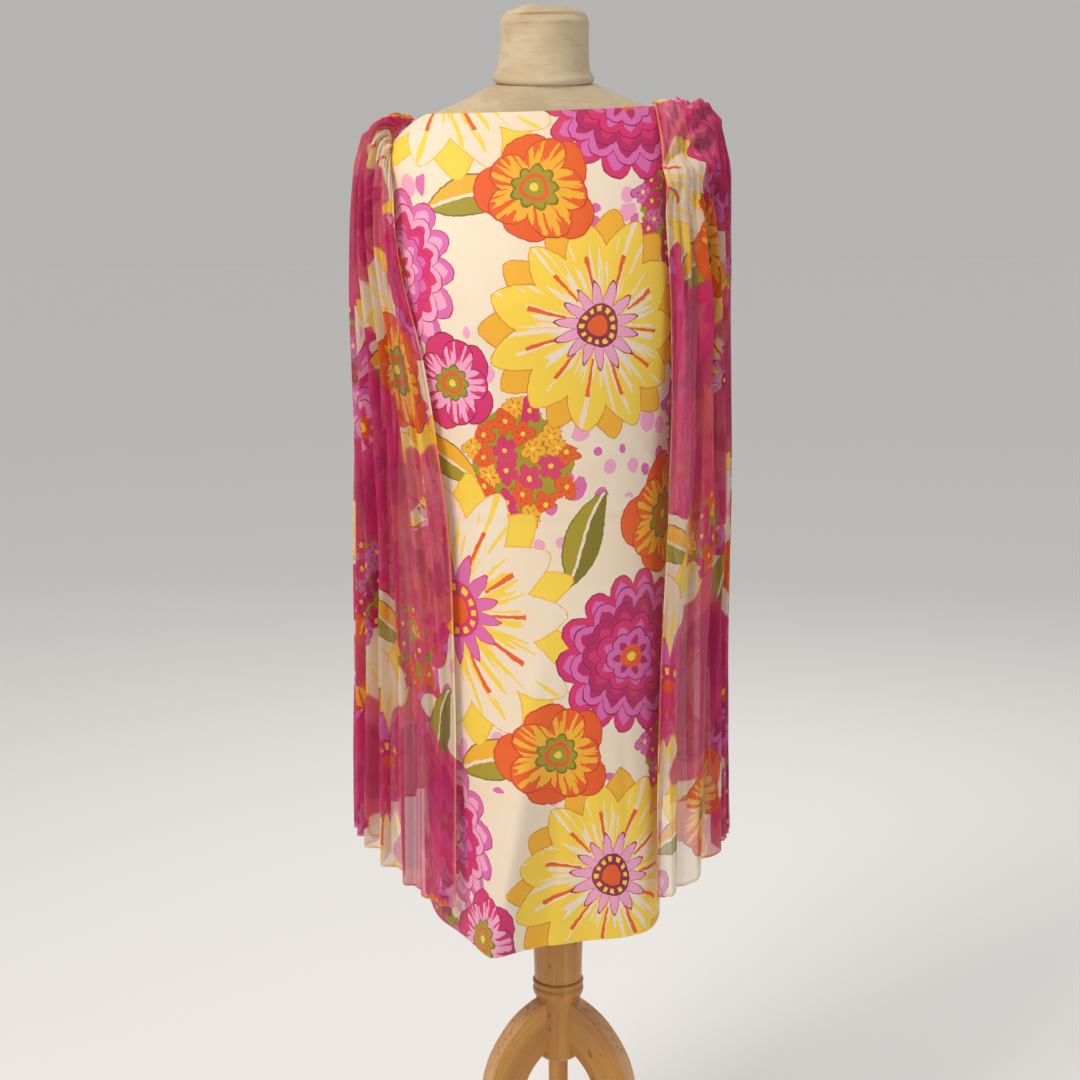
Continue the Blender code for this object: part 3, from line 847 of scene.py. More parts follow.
@dataclass(frozen=True)
class Varnish(Finish):
    """Honey-varnished beech, with its grain along each piece, scuffs from use, and painted light on the legs'
    outer faces.
    """

    pale: Colour = ink(208, 148, 62)
    deep: Colour = ink(182, 119, 42)
    # painted light: the legs' outer faces, which face up, shown lighter
    painted_light: Colour = ink(232, 188, 146)
    lined: Colour = ink(166, 106, 40)
    pored: Colour = ink(120, 72, 30)
    spotted: Colour = ink(92, 58, 28)
    bared: Colour = ink(138, 104, 80)

    def dress(self, board: Board, shader: bpy.types.Node, effects: Effects) -> None:
        """Grain the wood, varnish it, wear it, and paint light on the legs' outer faces."""
        wood = self.marked(board, "grain", "Vector")
        grain = board.use(effects.grain, Place=wood)
        figure, lines, pores = (board.read(grain, i) for i in range(3))
        colour = board.mix(figure, self.pale, self.deep)
        # painted light on the legs' outer faces
        colour = board.mix(self.marked(board, "painted_light") * 0.6, colour, self.painted_light)
        colour = board.mix(board.ease(lines, 0.35, 0.65, 0.0, 0.24), colour, self.lined)
        colour = board.mix(pores * 0.25, colour, self.pored)
        spots = board.noise(board.vector("MULTIPLY", wood, (70.0, 120.0, 120.0)), 1.0, 0.0)
        colour = board.mix(board.ease(spots, 0.76, 0.80, 0.0, 0.55), colour, self.spotted)
        worn = self.marked(board, "worn")
        rubbed = board.noise(board.vector("MULTIPLY", wood, (210.0, 300.0, 300.0)), 1.0, 4.0)
        scuffed = board.ease(worn + rubbed * 0.9, 0.94, 1.04)
        colour = board.mix(scuffed * 0.55, colour, self.bared)
        board.plug(shader, "Base Color", colour)
        rough = board.ease(lines, 0.3, 0.7, self.roughness - 0.04, self.roughness + 0.06)
        board.plug(shader, "Roughness", rough + scuffed * 0.25)
        board.plug(shader, "Normal", board.bump(lines * 0.4 + rubbed * 0.3 - pores * 0.3, 0.0003, 0.2))
        board.plug(shader, "Coat Weight", 0.3)
        board.plug(shader, "Coat Roughness", 0.16)


@dataclass(frozen=True)
class Plaster(Finish):
    """The studio's pale floor."""

    paint: Colour = (0.90, 0.89, 0.88)
    glow: Colour = (1.0, 0.99, 0.97)
    glow_strength: float = 0.06

    def dress(self, board: Board, shader: bpy.types.Node, effects: Effects) -> None:
        """Make it a plain pale grey."""
        board.plug(shader, "Base Color", self.paint)
        board.plug(shader, "Emission Color", self.glow)
        board.plug(shader, "Emission Strength", self.glow_strength)
        board.plug(shader, "Specular IOR Level", 0.1)


POLE = np.array((0.009, -0.056, 0.0))  # where the pole stands
MIDDLE = POLE + (-0.0085, 0.0, 0.0)  # the middle of the form, which stands a little to -X of it
UP = np.array((0.0, 0.0, 1.0))
DRESS_WALL = 0.0018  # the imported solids' walls, whose middle the sheets lie in
WING_WALL = 0.0015
WOOD_WEAR = 0.20  # how worn the wood is where nothing rubs it
COLLAR_Z = (0.355, 0.40)  # where the hub's collar is, which is rubbed
HEM_Z, UNDERARM_Z, SHOULDER_TIP_Z, NECKLINE_Z, NECK_SEAM_Z = 0.500, 1.225, 1.400, 1.420, 1.449


def ease_in(value: Grid) -> Grid:
    """0 below 0, 1 above 1, and smooth between."""
    t = np.clip(value, 0.0, 1.0)
    return t * t * (3 - 2 * t)


def unit(vectors: Grid) -> Grid:
    """Vectors of length 1."""
    return vectors / np.maximum(np.linalg.norm(vectors, axis=-1, keepdims=True), 1e-9)


def wave(turns: Grid) -> Grid:
    """A sine wave of a number of turns."""
    return np.sin(math.tau * turns)


class Table:
    """Columns of numbers on a smooth curve through a table's rows, each of which starts with its place."""

    def __init__(self, *rows: Sequence[float]) -> None:
        """Hold the rows and the curve's slopes at them."""
        table = np.array(rows, float)
        self.places, self.values = table[:, 0], table[:, 1:]
        self.slopes = np.gradient(self.values, self.places, axis=0)

    def __call__(self, place: Grid | float) -> tuple[Grid, ...]:
        """Every column at a place, or at each of many.

        Args:
            place: One place, or a grid of them.

        Returns:
            The columns, each of the place's own shape.
        """
        place = np.clip(np.asarray(place, float), self.places[0], self.places[-1])
        row = np.clip(np.searchsorted(self.places, place, "right") - 1, 0, len(self.places) - 2)
        span = (self.places[row + 1] - self.places[row])[..., None]
        t = (place - self.places[row])[..., None] / span
        below = (1 + 2 * t) * (1 - t) ** 2 * self.values[row] + t * (1 - t) ** 2 * span * self.slopes[row]
        above = t * t * (3 - 2 * t) * self.values[row + 1] + t * t * (t - 1) * span * self.slopes[row + 1]
        return tuple(np.moveaxis(below + above, -1, 0))


def oval(angle: Grid, half_width: Grid, front: Grid, back: Grid, power: Grid | float) -> Grid:
    """Points of level ovals.

    Args:
        angle: Radians round from the front, towards +X.
        half_width: The oval's half width.
        front: Its depth before the middle.
        back: Its depth behind the middle.
        power: 2 for an ellipse, and more for a squarer one.

    Returns:
        The points, at height 0.
    """
    across, along = np.sin(angle), np.cos(angle)
    x = half_width * np.sign(across) * np.abs(across) ** (2 / power)
    y = -np.where(along > 0, front, back) * np.sign(along) * np.abs(along) ** (2 / power)
    return np.stack([x, y, np.zeros_like(x)], -1)


def measured(surface: Grid, grain: int) -> tuple[Grid, Grid]:
    """How far along the cloth each point of a sheet is.

    Args:
        surface: The sheet's middle surface.
        grain: The column of points that its grain line follows.

    Returns:
        How far across from the left edge, and how far up the grain line.
    """
    steps = np.linalg.norm(np.diff(surface, axis=1), axis=-1)
    across = np.concatenate([np.zeros((len(surface), 1)), np.cumsum(steps, 1)], 1)
    rises = np.linalg.norm(np.diff(surface[:, grain], axis=0), axis=-1)
    up = np.concatenate([[0.0], np.cumsum(rises)])
    return across, np.repeat(up[:, None], across.shape[1], 1)


@dataclass(frozen=True)
class Fold:
    """A soft ridge of the skirt, or a trough where its depth is negative, that dies out above the hem.

    The angle is at the hem, and the drift is in degrees round for each metre up. The width is in degrees too.
    The power is 2 for a rounded ridge, and nearer 1 for one with a crisp crest. The lean is more than 0 where
    the flank on the side of greater angles is the steeper.
    """

    angle: float
    drift: float
    width: float
    depth: float
    top: float
    power: float = 2.0
    lean: float = 0.0

    def lift(self, angle: Grid, z: Grid) -> Grid:
        """How far the fold lifts each place of the skirt.

        Args:
            angle: Degrees round.
            z: The height.

        Returns:
            The lift, in metres.
        """
        off = (angle - self.angle - self.drift * (z - HEM_Z) + 180) % 360 - 180
        width = self.width * (1 - self.lean * np.tanh(off))
        fade = ease_in((self.top - z) / (self.top - HEM_Z))
        return self.depth * fade * np.exp(-(((off / width) ** 2 + 0.004) ** (self.power / 2)))


class Figure:
    """The surface that the dress lies on, by height in metres and angle in degrees.

    The angle is 0 at the front and 90 at +X.
    """

    # z: half width, front, back, power, shift to +X, turn, rise to the back, tilt to +X, ease in to the form
    levels: Table = Table(
        (0.500, 0.139, 0.150, 0.150, 2.1, -0.002, 4.0, 0.00, 0.000, 0.0240),
        (0.700, 0.142, 0.142, 0.146, 2.1, -0.003, 2.5, 0.00, 0.000, 0.0200),
        (0.840, 0.144, 0.132, 0.138, 2.1, -0.004, 1.0, 0.00, 0.000, 0.0140),
        (1.030, 0.144, 0.120, 0.112, 2.2, -0.006, 0.0, 0.00, 0.000, 0.0220),
        (1.130, 0.150, 0.128, 0.104, 2.2, -0.007, 0.0, 0.00, 0.000, 0.0120),
        (1.200, 0.156, 0.132, 0.103, 2.2, -0.008, 0.0, 0.00, 0.000, 0.0060),
        (1.260, 0.161, 0.120, 0.103, 2.2, -0.008, 0.0, 0.00, 0.000, 0.0050),
        (1.320, 0.163, 0.098, 0.100, 2.2, -0.008, 0.0, 0.00, 0.010, 0.0040),
        (1.370, 0.163, 0.077, 0.088, 2.2, -0.008, 0.0, 0.00, 0.020, 0.0026),
        (1.400, 0.152, 0.063, 0.072, 2.1, -0.007, 0.0, 0.02, 0.026, 0.0017),
        (1.420, 0.125, 0.053, 0.060, 2.0, -0.005, 0.0, 0.05, 0.030, 0.0016),
        (1.436, 0.083, 0.050, 0.055, 2.0, -0.002, 0.0, 0.09, 0.020, 0.0005),
        (1.449, 0.058, 0.049, 0.053, 2.0, 0.000, 0.0, 0.10, 0.000, 0.0005),
    )
    folds: tuple[Fold, ...] = (
        Fold(-28.0, 68.0, 11.0, 0.040, 0.86, 1.35, 0.30),
        Fold(-54.0, 10.0, 16.0, -0.003, 0.80),
        Fold(8.0, -20.0, 16.0, -0.013, 0.84),
        Fold(40.0, -8.0, 13.0, 0.005, 0.82),
        Fold(61.0, 0.0, 7.0, 0.0045, 0.72, 1.4),
        Fold(-10.0, 30.0, 5.0, -0.0035, 0.82, 1.6),
        Fold(74.0, 0.0, 18.0, -0.016, 0.74),
        Fold(120.0, 5.0, 14.0, 0.012, 0.84),
        Fold(152.0, 0.0, 13.0, -0.008, 0.80),
        Fold(196.0, -10.0, 15.0, 0.014, 0.88),
        Fold(228.0, 0.0, 14.0, -0.010, 0.82),
        Fold(252.0, 10.0, 12.0, 0.009, 0.76),
    )

    @classmethod
    def point(cls, angle: Grid, z: Grid) -> Grid:
        """The surface without its folds."""
        half_width, front, back, power, shift, turn, rise, tilt, _ = cls.levels(z)
        flat = oval(np.radians(angle), half_width, front, back, power)
        cos, sin = np.cos(np.radians(turn)), np.sin(np.radians(turn))
        x = cos * flat[..., 0] - sin * flat[..., 1]
        y = sin * flat[..., 0] + cos * flat[..., 1]
        return np.stack([x + shift, y, z + rise * y + tilt * x], -1) + MIDDLE

    @classmethod
    def normal(cls, angle: Grid, z: Grid) -> Grid:
        """The way out of the surface."""
        round_it = cls.point(angle + 0.5, z) - cls.point(angle - 0.5, z)
        rising = cls.point(angle, np.minimum(z + 0.001, NECK_SEAM_Z)) - cls.point(angle, z - 0.001)
        return unit(np.cross(round_it, rising))

    @classmethod
    def dress(cls, angle: Grid, z: Grid) -> Grid:
        """The dress's inner face, with its folds."""
        outward = cls.normal(angle, z) * (1.0, 1.0, 0.0)
        depth = sum(fold.lift(angle, z) for fold in cls.folds)
        return cls.point(angle, z) + unit(outward) * depth[..., None]

    @classmethod
    def form(cls, angle: Grid, z: Grid) -> Grid:
        """The form's own face, inside the dress by the ease of each height."""
        return cls.point(angle, z) - cls.normal(angle, z) * cls.levels(z)[-1][..., None]


@dataclass(frozen=True)
class Crease:
    """A soft ridge of a sheet, or a trough where its height is negative, between two places of it.

    The places are shares of the sheet, across and up. The bow is how far the line's middle stands to its
    left, as a share of its length. The width is in shares too, and the height is in metres.
    """

    start: tuple[float, float]
    stop: tuple[float, float]
    width: float
    height: float
    bow: float = 0.0

    def push(self, u: Grid, v: Grid, aspect: float) -> Grid:
        """How far the crease pushes each place of a sheet outwards.

        Args:
            u: The share across.
            v: The share up.
            aspect: The sheet's length for each metre of its width.

        Returns:
            The push at each place, in metres.
        """
        ax, ay = self.start[0], self.start[1] * aspect
        dx, dy = self.stop[0] - ax, self.stop[1] * aspect - ay
        long = math.hypot(dx, dy)
        along = ((u - ax) * dx + (v * aspect - ay) * dy) / long**2
        off = ((v * aspect - ay) * dx - (u - ax) * dy) / long
        off = off - self.bow * long * 4 * along * (1 - along)
        ends = ease_in((along + 0.15) / 0.3) * ease_in((1.15 - along) / 0.3)
        return self.height * ends * np.exp(-((off / self.width) ** 2))


class Workshop:
    """Ways to make meshes, which leave each object at the origin with its transforms applied."""

    @staticmethod
    def alone(thing: bpy.types.Object) -> None:
        """Select one object and make it active."""
        bpy.ops.object.select_all(action="DESELECT")
        thing.select_set(True)
        bpy.context.view_layer.objects.active = thing

    @classmethod
    def settle(cls, thing: bpy.types.Object, name: str, degrees: float = 40.0) -> bpy.types.Object:
        """Name an object, apply its modifiers and transforms, and shade it smooth.

        Args:
            thing: The object.
            name: The name of its piece.
            degrees: The angle above which an edge stays sharp.

        Returns:
            The object.
        """
        cls.alone(thing)
        for modifier in list(thing.modifiers):
            bpy.ops.object.modifier_apply(modifier=modifier.name)
        bpy.ops.object.transform_apply(location=True, rotation=True, scale=True)
        bpy.ops.object.shade_smooth_by_angle(angle=math.radians(degrees))
        thing.name = thing.data.name = name
        return thing

    @staticmethod
    def mark(thing: bpy.types.Object, name: str, values: Grid) -> None:
        """Keep a number, or three, for each point of a mesh.

        Args:
            thing: The object.
            name: The mark's name, which its material reads.
            values: The numbers, one or three to a point.
        """
        wide = values.size == 3 * len(thing.data.vertices)
        marked = thing.data.attributes.new(name, "FLOAT_VECTOR" if wide else "FLOAT", "POINT")
        marked.data.foreach_set("vector" if wide else "value", values.reshape(-1).astype(np.float32))

    @staticmethod
    def points(thing: bpy.types.Object) -> Grid:
        """Every point of a mesh."""
        found = np.empty(3 * len(thing.data.vertices))
        thing.data.vertices.foreach_get("co", found)
        return found.reshape(-1, 3)

    @classmethod
    def cloth(
        cls, name: str, points: Grid, cut: Grid, wall: float, rolled: Grid | None = None
    ) -> bpy.types.Object:
        """A sheet of cloth from its middle surface.

        Args:
            name: The name of its piece.
            points: The middle surface, from its lower left, seen from outside.
            cut: Where each point lies on the flat cut, in metres.
            wall: The cloth's thickness.
            rolled: How much of a rolled edge each point is, from 0 to 1.

        Returns:
            The sheet, with its cut as its UV map.
        """
        rows, columns = points.shape[:2]
        bpy.ops.mesh.primitive_grid_add(x_subdivisions=columns - 1, y_subdivisions=rows - 1, size=1)
        sheet = bpy.context.object
        sheet.data.vertices.foreach_set("co", points.reshape(-1))
        corners = np.empty(len(sheet.data.loops), np.int32)
        sheet.data.loops.foreach_get("vertex_index", corners)
        sheet.data.uv_layers.active.data.foreach_set("uv", cut.reshape(-1, 2)[corners].reshape(-1))
        if rolled is not None:
            cls.mark(sheet, "rolled_edge", rolled)
        thick = sheet.modifiers.new("wall", "SOLIDIFY")
        thick.thickness = wall
        thick.offset = 0.0
        return cls.settle(sheet, name, 60.0)

    @classmethod
    def rounds(cls, name: str, rings: Grid) -> bpy.types.Object:
        """A closed solid from rings of points.

        Args:
            name: The name of its piece.
            rings: The rings, from the bottom up, each turning from the back towards -X.

        Returns:
            The solid, with fans of faces in its two ends, and its cover's cloth in metres as its UV map.
        """
        steps, sides = rings.shape[:2]
        girth = np.linalg.norm(np.diff(rings, axis=1), axis=-1).sum(1).max()
        rises = np.linalg.norm(np.diff(rings, axis=0), axis=-1).mean(1)
        height = np.concatenate([[0.0], np.cumsum(rises)])
        ends = [rings[0].mean(0), rings[-1].mean(0)]
        points = np.concatenate([rings.reshape(-1, 3), ends])
        faces, cloth = [], []
        for step in range(steps - 1):
            for side in range(sides):
                low, next_low = step * sides + side, step * sides + (side + 1) % sides
                faces.append((low, next_low, next_low + sides, low + sides))
                left, right = girth * side / sides, girth * (side + 1) / sides
                cloth += [(left, height[step]), (right, height[step])]
                cloth += [(right, height[step + 1]), (left, height[step + 1])]
        top = (steps - 1) * sides
        for side in range(sides):
            after = (side + 1) % sides
            for fan in ((after, side, steps * sides), (top + side, top + after, steps * sides + 1)):
                faces.append(fan)
                cloth += [tuple(points[corner][:2]) for corner in fan]
        mesh = bpy.data.meshes.new(name)
        mesh.from_pydata(points.tolist(), [], faces)
        mesh.uv_layers.new(name="cover").data.foreach_set("uv", np.array(cloth).reshape(-1))
        solid = bpy.data.objects.new(name, mesh)
        bpy.context.collection.objects.link(solid)
        return cls.settle(solid, name, 50.0)

    @classmethod
    def turned(cls, name: str, profile: Sequence[tuple[float, float]], steps: int = 96) -> bpy.types.Object:
        """A turned solid on the pole's axis.

        Args:
            name: The name of its piece.
            profile: Radius and height, from the top middle down to the bottom middle.
            steps: The faces round it.

        Returns:
            The solid.
        """
        bpy.ops.mesh.primitive_plane_add(size=1)
        solid = bpy.context.object
        bpy.ops.object.mode_set(mode="EDIT")
        bpy.ops.mesh.select_all(action="SELECT")
        bpy.ops.mesh.merge(type="CENTER")
        at = np.array((profile[0][0], 0.0, profile[0][1]))
        bpy.ops.transform.translate(value=at)
        for radius, z in profile[1:]:
            to = np.array((radius, 0.0, z))
            bpy.ops.mesh.extrude_region_move(TRANSFORM_OT_translate={"value": to - at})
            at = to
        bpy.ops.mesh.select_all(action="SELECT")
        bpy.ops.mesh.spin(steps=steps, angle=math.tau, center=(0, 0, 0), axis=(0, 0, 1))
        bpy.ops.mesh.select_all(action="SELECT")
        bpy.ops.mesh.remove_doubles(threshold=0.00001)
        bpy.ops.mesh.normals_make_consistent(inside=False)
        bpy.ops.object.mode_set(mode="OBJECT")
        at = cls.points(solid)
        collar = ease_in((at[:, 2] - COLLAR_Z[0]) / 0.02) * ease_in((COLLAR_Z[1] - at[:, 2]) / 0.01)
        cls.mark(solid, "grain", at[:, [2, 0, 1]])
        cls.mark(solid, "worn", WOOD_WEAR + 0.16 * collar)
        # no painted light on the turned pieces
        cls.mark(solid, "painted_light", np.zeros(len(at)))
        solid.location = POLE
        return cls.settle(solid, name)


class Panel(Enum):
    """The dress's three panels."""

    FRONT = "front_panel"
    BACK_RIGHT = "right_back_panel"
    BACK_LEFT = "left_back_panel"


@dataclass(frozen=True)
class Cut:
    """One panel of the dress, as it is cut.

    The node is the solid that it stands for. The flat size and the area are in metres. The origin is where
    its grain line crosses the hem's edge, on the print. The aspect is its length for each metre of its width.
    """

    node: str
    flat: tuple[float, float]
    area: float
    origin: tuple[float, float]
    aspect: float
    creases: tuple[Crease, ...]


CUTS: dict[Panel, Cut] = {
    Panel.FRONT: Cut(
        "dress_front",
        (0.50, 1.03),
        0.42,
        (0.235, 0.035),
        3.0,
        (
            Crease((0.36, 0.02), (0.50, 0.42), 0.020, 0.0014, 0.02),
            Crease((0.47, 0.05), (0.53, 0.36), 0.016, -0.0018),
            Crease((0.60, 0.02), (0.57, 0.30), 0.018, 0.0012),
            Crease((0.68, 0.00), (0.66, 0.24), 0.016, -0.0014),
            Crease((0.14, 0.527), (0.86, 0.531), 0.010, 0.0009),
            Crease((0.18, 0.517), (0.84, 0.520), 0.010, -0.0006),
            Crease((0.22, 0.36), (0.30, 0.56), 0.014, 0.0011, 0.02),
            Crease((0.27, 0.40), (0.33, 0.54), 0.010, -0.0010, 0.02),
            Crease((0.20, 0.60), (0.34, 0.66), 0.014, 0.0012, 0.08),
            Crease((0.80, 0.56), (0.68, 0.63), 0.014, 0.0011, -0.08),
            Crease((0.28, 0.46), (0.62, 0.60), 0.030, 0.0010, 0.05),
            Crease((0.35, 0.88), (0.52, 0.72), 0.030, -0.0009, -0.04),
            Crease((0.66, 0.90), (0.56, 0.70), 0.030, -0.0008, 0.04),
            Crease((0.25, 0.70), (0.45, 0.78), 0.026, 0.0009, 0.10),
            Crease((0.76, 0.72), (0.60, 0.80), 0.026, 0.0009, -0.10),
            Crease((0.30, 0.58), (0.50, 0.50), 0.022, 0.0007, 0.08),
        ),
    ),
    Panel.BACK_RIGHT: Cut(
        "dress_back_right",
        (0.25, 1.02),
        0.205,
        (0.115, 0.180),
        5.0,
        (
            Crease((0.20, 0.04), (0.30, 0.45), 0.035, 0.0011),
            Crease((0.30, 0.80), (0.75, 0.66), 0.045, -0.0010, 0.06),
            Crease((0.35, 0.62), (0.80, 0.55), 0.040, 0.0008, 0.05),
        ),
    ),
    Panel.BACK_LEFT: Cut(
        "dress_back_left",
        (0.25, 1.02),
        0.205,
        (0.355, 0.180),
        5.0,
        (
            Crease((0.80, 0.05), (0.70, 0.42), 0.035, 0.0011),
            Crease((0.70, 0.80), (0.25, 0.67), 0.045, -0.0010, -0.06),
            Crease((0.65, 0.60), (0.20, 0.54), 0.040, 0.0008, -0.05),
        ),
    ),
}


@dataclass(frozen=True)
class Dress:
    """The body of the dress: a front and two backs, from hem to neckline."""

    wall: float = 0.0009
    columns: int = 120
    rows: int = 230
    lower_rows: float = 0.68  # the share of them below the underarm
    hem: float = 0.030  # how much is turned up inside the hem
    hem_gap: float = 0.0016  # from the outer cloth in to the turned part
    hem_rows: int = 9
    bend_start: float = 0.0025  # how high over the edge the turned part starts to bend out
    bend: tuple[tuple[float, float], ...] = ((0.0012, 0.0014), (0.0004, 0.0008))  # further rows: height, gap
    slack: float = 0.0003  # between the panels at a seam
    loft: float = 0.0011  # how far the cloth stands off between its seams
    held: float = 0.12  # the share of a panel's width that each seam holds down
    held_top: float = 0.06  # the share of its length that the neckline holds down
    clinging: float = 0.6  # how much closer the cloth lies over the top

    # z: how far round the front panel reaches, and where the back panel starts
    armhole: Table = Table(
        (1.225, 90.0, 90.0),
        (1.240, 72.0, 106.0),
        (1.270, 61.0, 117.0),
        (1.320, 57.0, 121.0),
        (1.365, 62.0, 116.0),
        (1.390, 76.0, 103.0),
        (1.400, 90.0, 90.0),
    )

    # z: how far round the front panel reaches at -X, where the form's side fills the armhole
    left_armhole: Table = Table(
        (1.225, 90.0),
        (1.240, 86.0),
        (1.270, 82.0),
        (1.320, 80.0),
        (1.365, 82.0),
        (1.390, 86.0),
        (1.400, 90.0),
    )
    left_flare: float = 0.0025  # how far the cloth stands off the form at that armhole

    def heights(self) -> Grid:
        """The rows' heights. They are closer above the underarm."""
        lower = np.linspace(HEM_Z, UNDERARM_Z, round(self.rows * self.lower_rows), endpoint=False)
        return np.concatenate([lower, np.linspace(UNDERARM_Z, NECKLINE_Z, self.rows + 1 - len(lower))])

    def spread(self, panel: Panel, u: Grid, z: Grid) -> Grid:
        """The angle of each place of a panel.

        Args:
            panel: The panel.
            u: The share across it, from its left edge, seen from outside.
            z: The height.

        Returns:
            The angle in degrees.
        """
        front_reach, back_start = self.armhole(z)
        free = (z > UNDERARM_Z) & (z < SHOULDER_TIP_Z)
        half_width, front, back = Figure.levels(z)[:3]
        gap = np.degrees(self.slack / 2 / np.minimum(front, back))
        front_reach = np.where(u < 0.5, self.left_armhole(z)[0], front_reach)
        front_reach = np.where(free, front_reach, 90.0) - gap
        back_start = np.where(free, back_start, 90.0) + gap
        if panel is Panel.FRONT:
            return (2 * u - 1) * front_reach
        stop = 180 - np.degrees(self.slack / 2 / half_width)
        if panel is Panel.BACK_RIGHT:
            return back_start + (stop - back_start) * u
        return 360 - stop + (stop - back_start) * u

    def surface(self, panel: Panel) -> Grid:
        """A panel's middle surface, from the top of its turned-up hem, down, round and up to the neckline."""
        columns = self.columns if panel is Panel.FRONT else self.columns // 2
        u, z = np.meshgrid(np.linspace(0, 1, columns + 1), self.heights())
        angle = self.spread(panel, u, z)
        outward = Figure.normal(angle, z)
        v = (z - HEM_Z) / (NECKLINE_Z - HEM_Z)
        push = sum(crease.push(u, v, CUTS[panel].aspect) for crease in CUTS[panel].creases)
        edges = ease_in(u / self.held) * ease_in((1 - u) / self.held) * ease_in((1 - v) / self.held_top)
        lift = DRESS_WALL / 2 + (push + self.loft) * edges * (1 - self.clinging * ease_in((v - 0.8) / 0.2))
        if panel is Panel.FRONT:
            beside = ease_in((z - UNDERARM_Z) / 0.04) * ease_in((SHOULDER_TIP_Z - z) / 0.03)
            lift = lift + self.left_flare * beside * ease_in((0.16 - u) / 0.16)
        outer = Figure.dress(angle, z) + outward * lift[..., None]
        return np.concatenate([self.turned_up(outer, z), outer])

    def turned_up(self, outer: Grid, z: Grid) -> Grid:
        """The part that is turned up inside the hem, from its top down to the edge.

        Args:
            outer: The outer cloth.
            z: The heights of its rows.

        Returns:
            The rows to put before the outer cloth's.
        """
        up = np.gradient(outer, axis=0)
        outward = unit(np.cross(np.gradient(outer, axis=1), up))
        flat = [(height, self.hem_gap) for height in np.linspace(self.hem, self.bend_start, self.hem_rows)]
        rows = []
        for height, back in (*flat, *self.bend):
            place = np.interp(HEM_Z + height, z[:, 0], np.arange(len(z)))
            low = int(place)
            share = place - low
            here = outer[low] * (1 - share) + outer[low + 1] * share
            rows.append(here - outward[low] * back)
        return np.stack(rows)

    def cut(self, surface: Grid, panel: Panel) -> Grid:
        """Where each point lies on the flat cut: from the panel's grain line, and up from the hem's edge.

        Args:
            surface: The middle surface.
            panel: The panel.

        Returns:
            The places on the cloth, in metres.
        """
        middle = surface.shape[1] // 2
        across, up = measured(surface, middle)
        x, y = CUTS[panel].origin
        return np.stack([across - across[:, middle:middle + 1] + x, up + y], -1)

    def build(self) -> dict[Panel, bpy.types.Object]:
        """Build the three panels."""
        made = {}
        for panel in Panel:
            surface = self.surface(panel)
            made[panel] = Workshop.cloth(panel.value, surface, self.cut(surface, panel), self.wall)
        return made


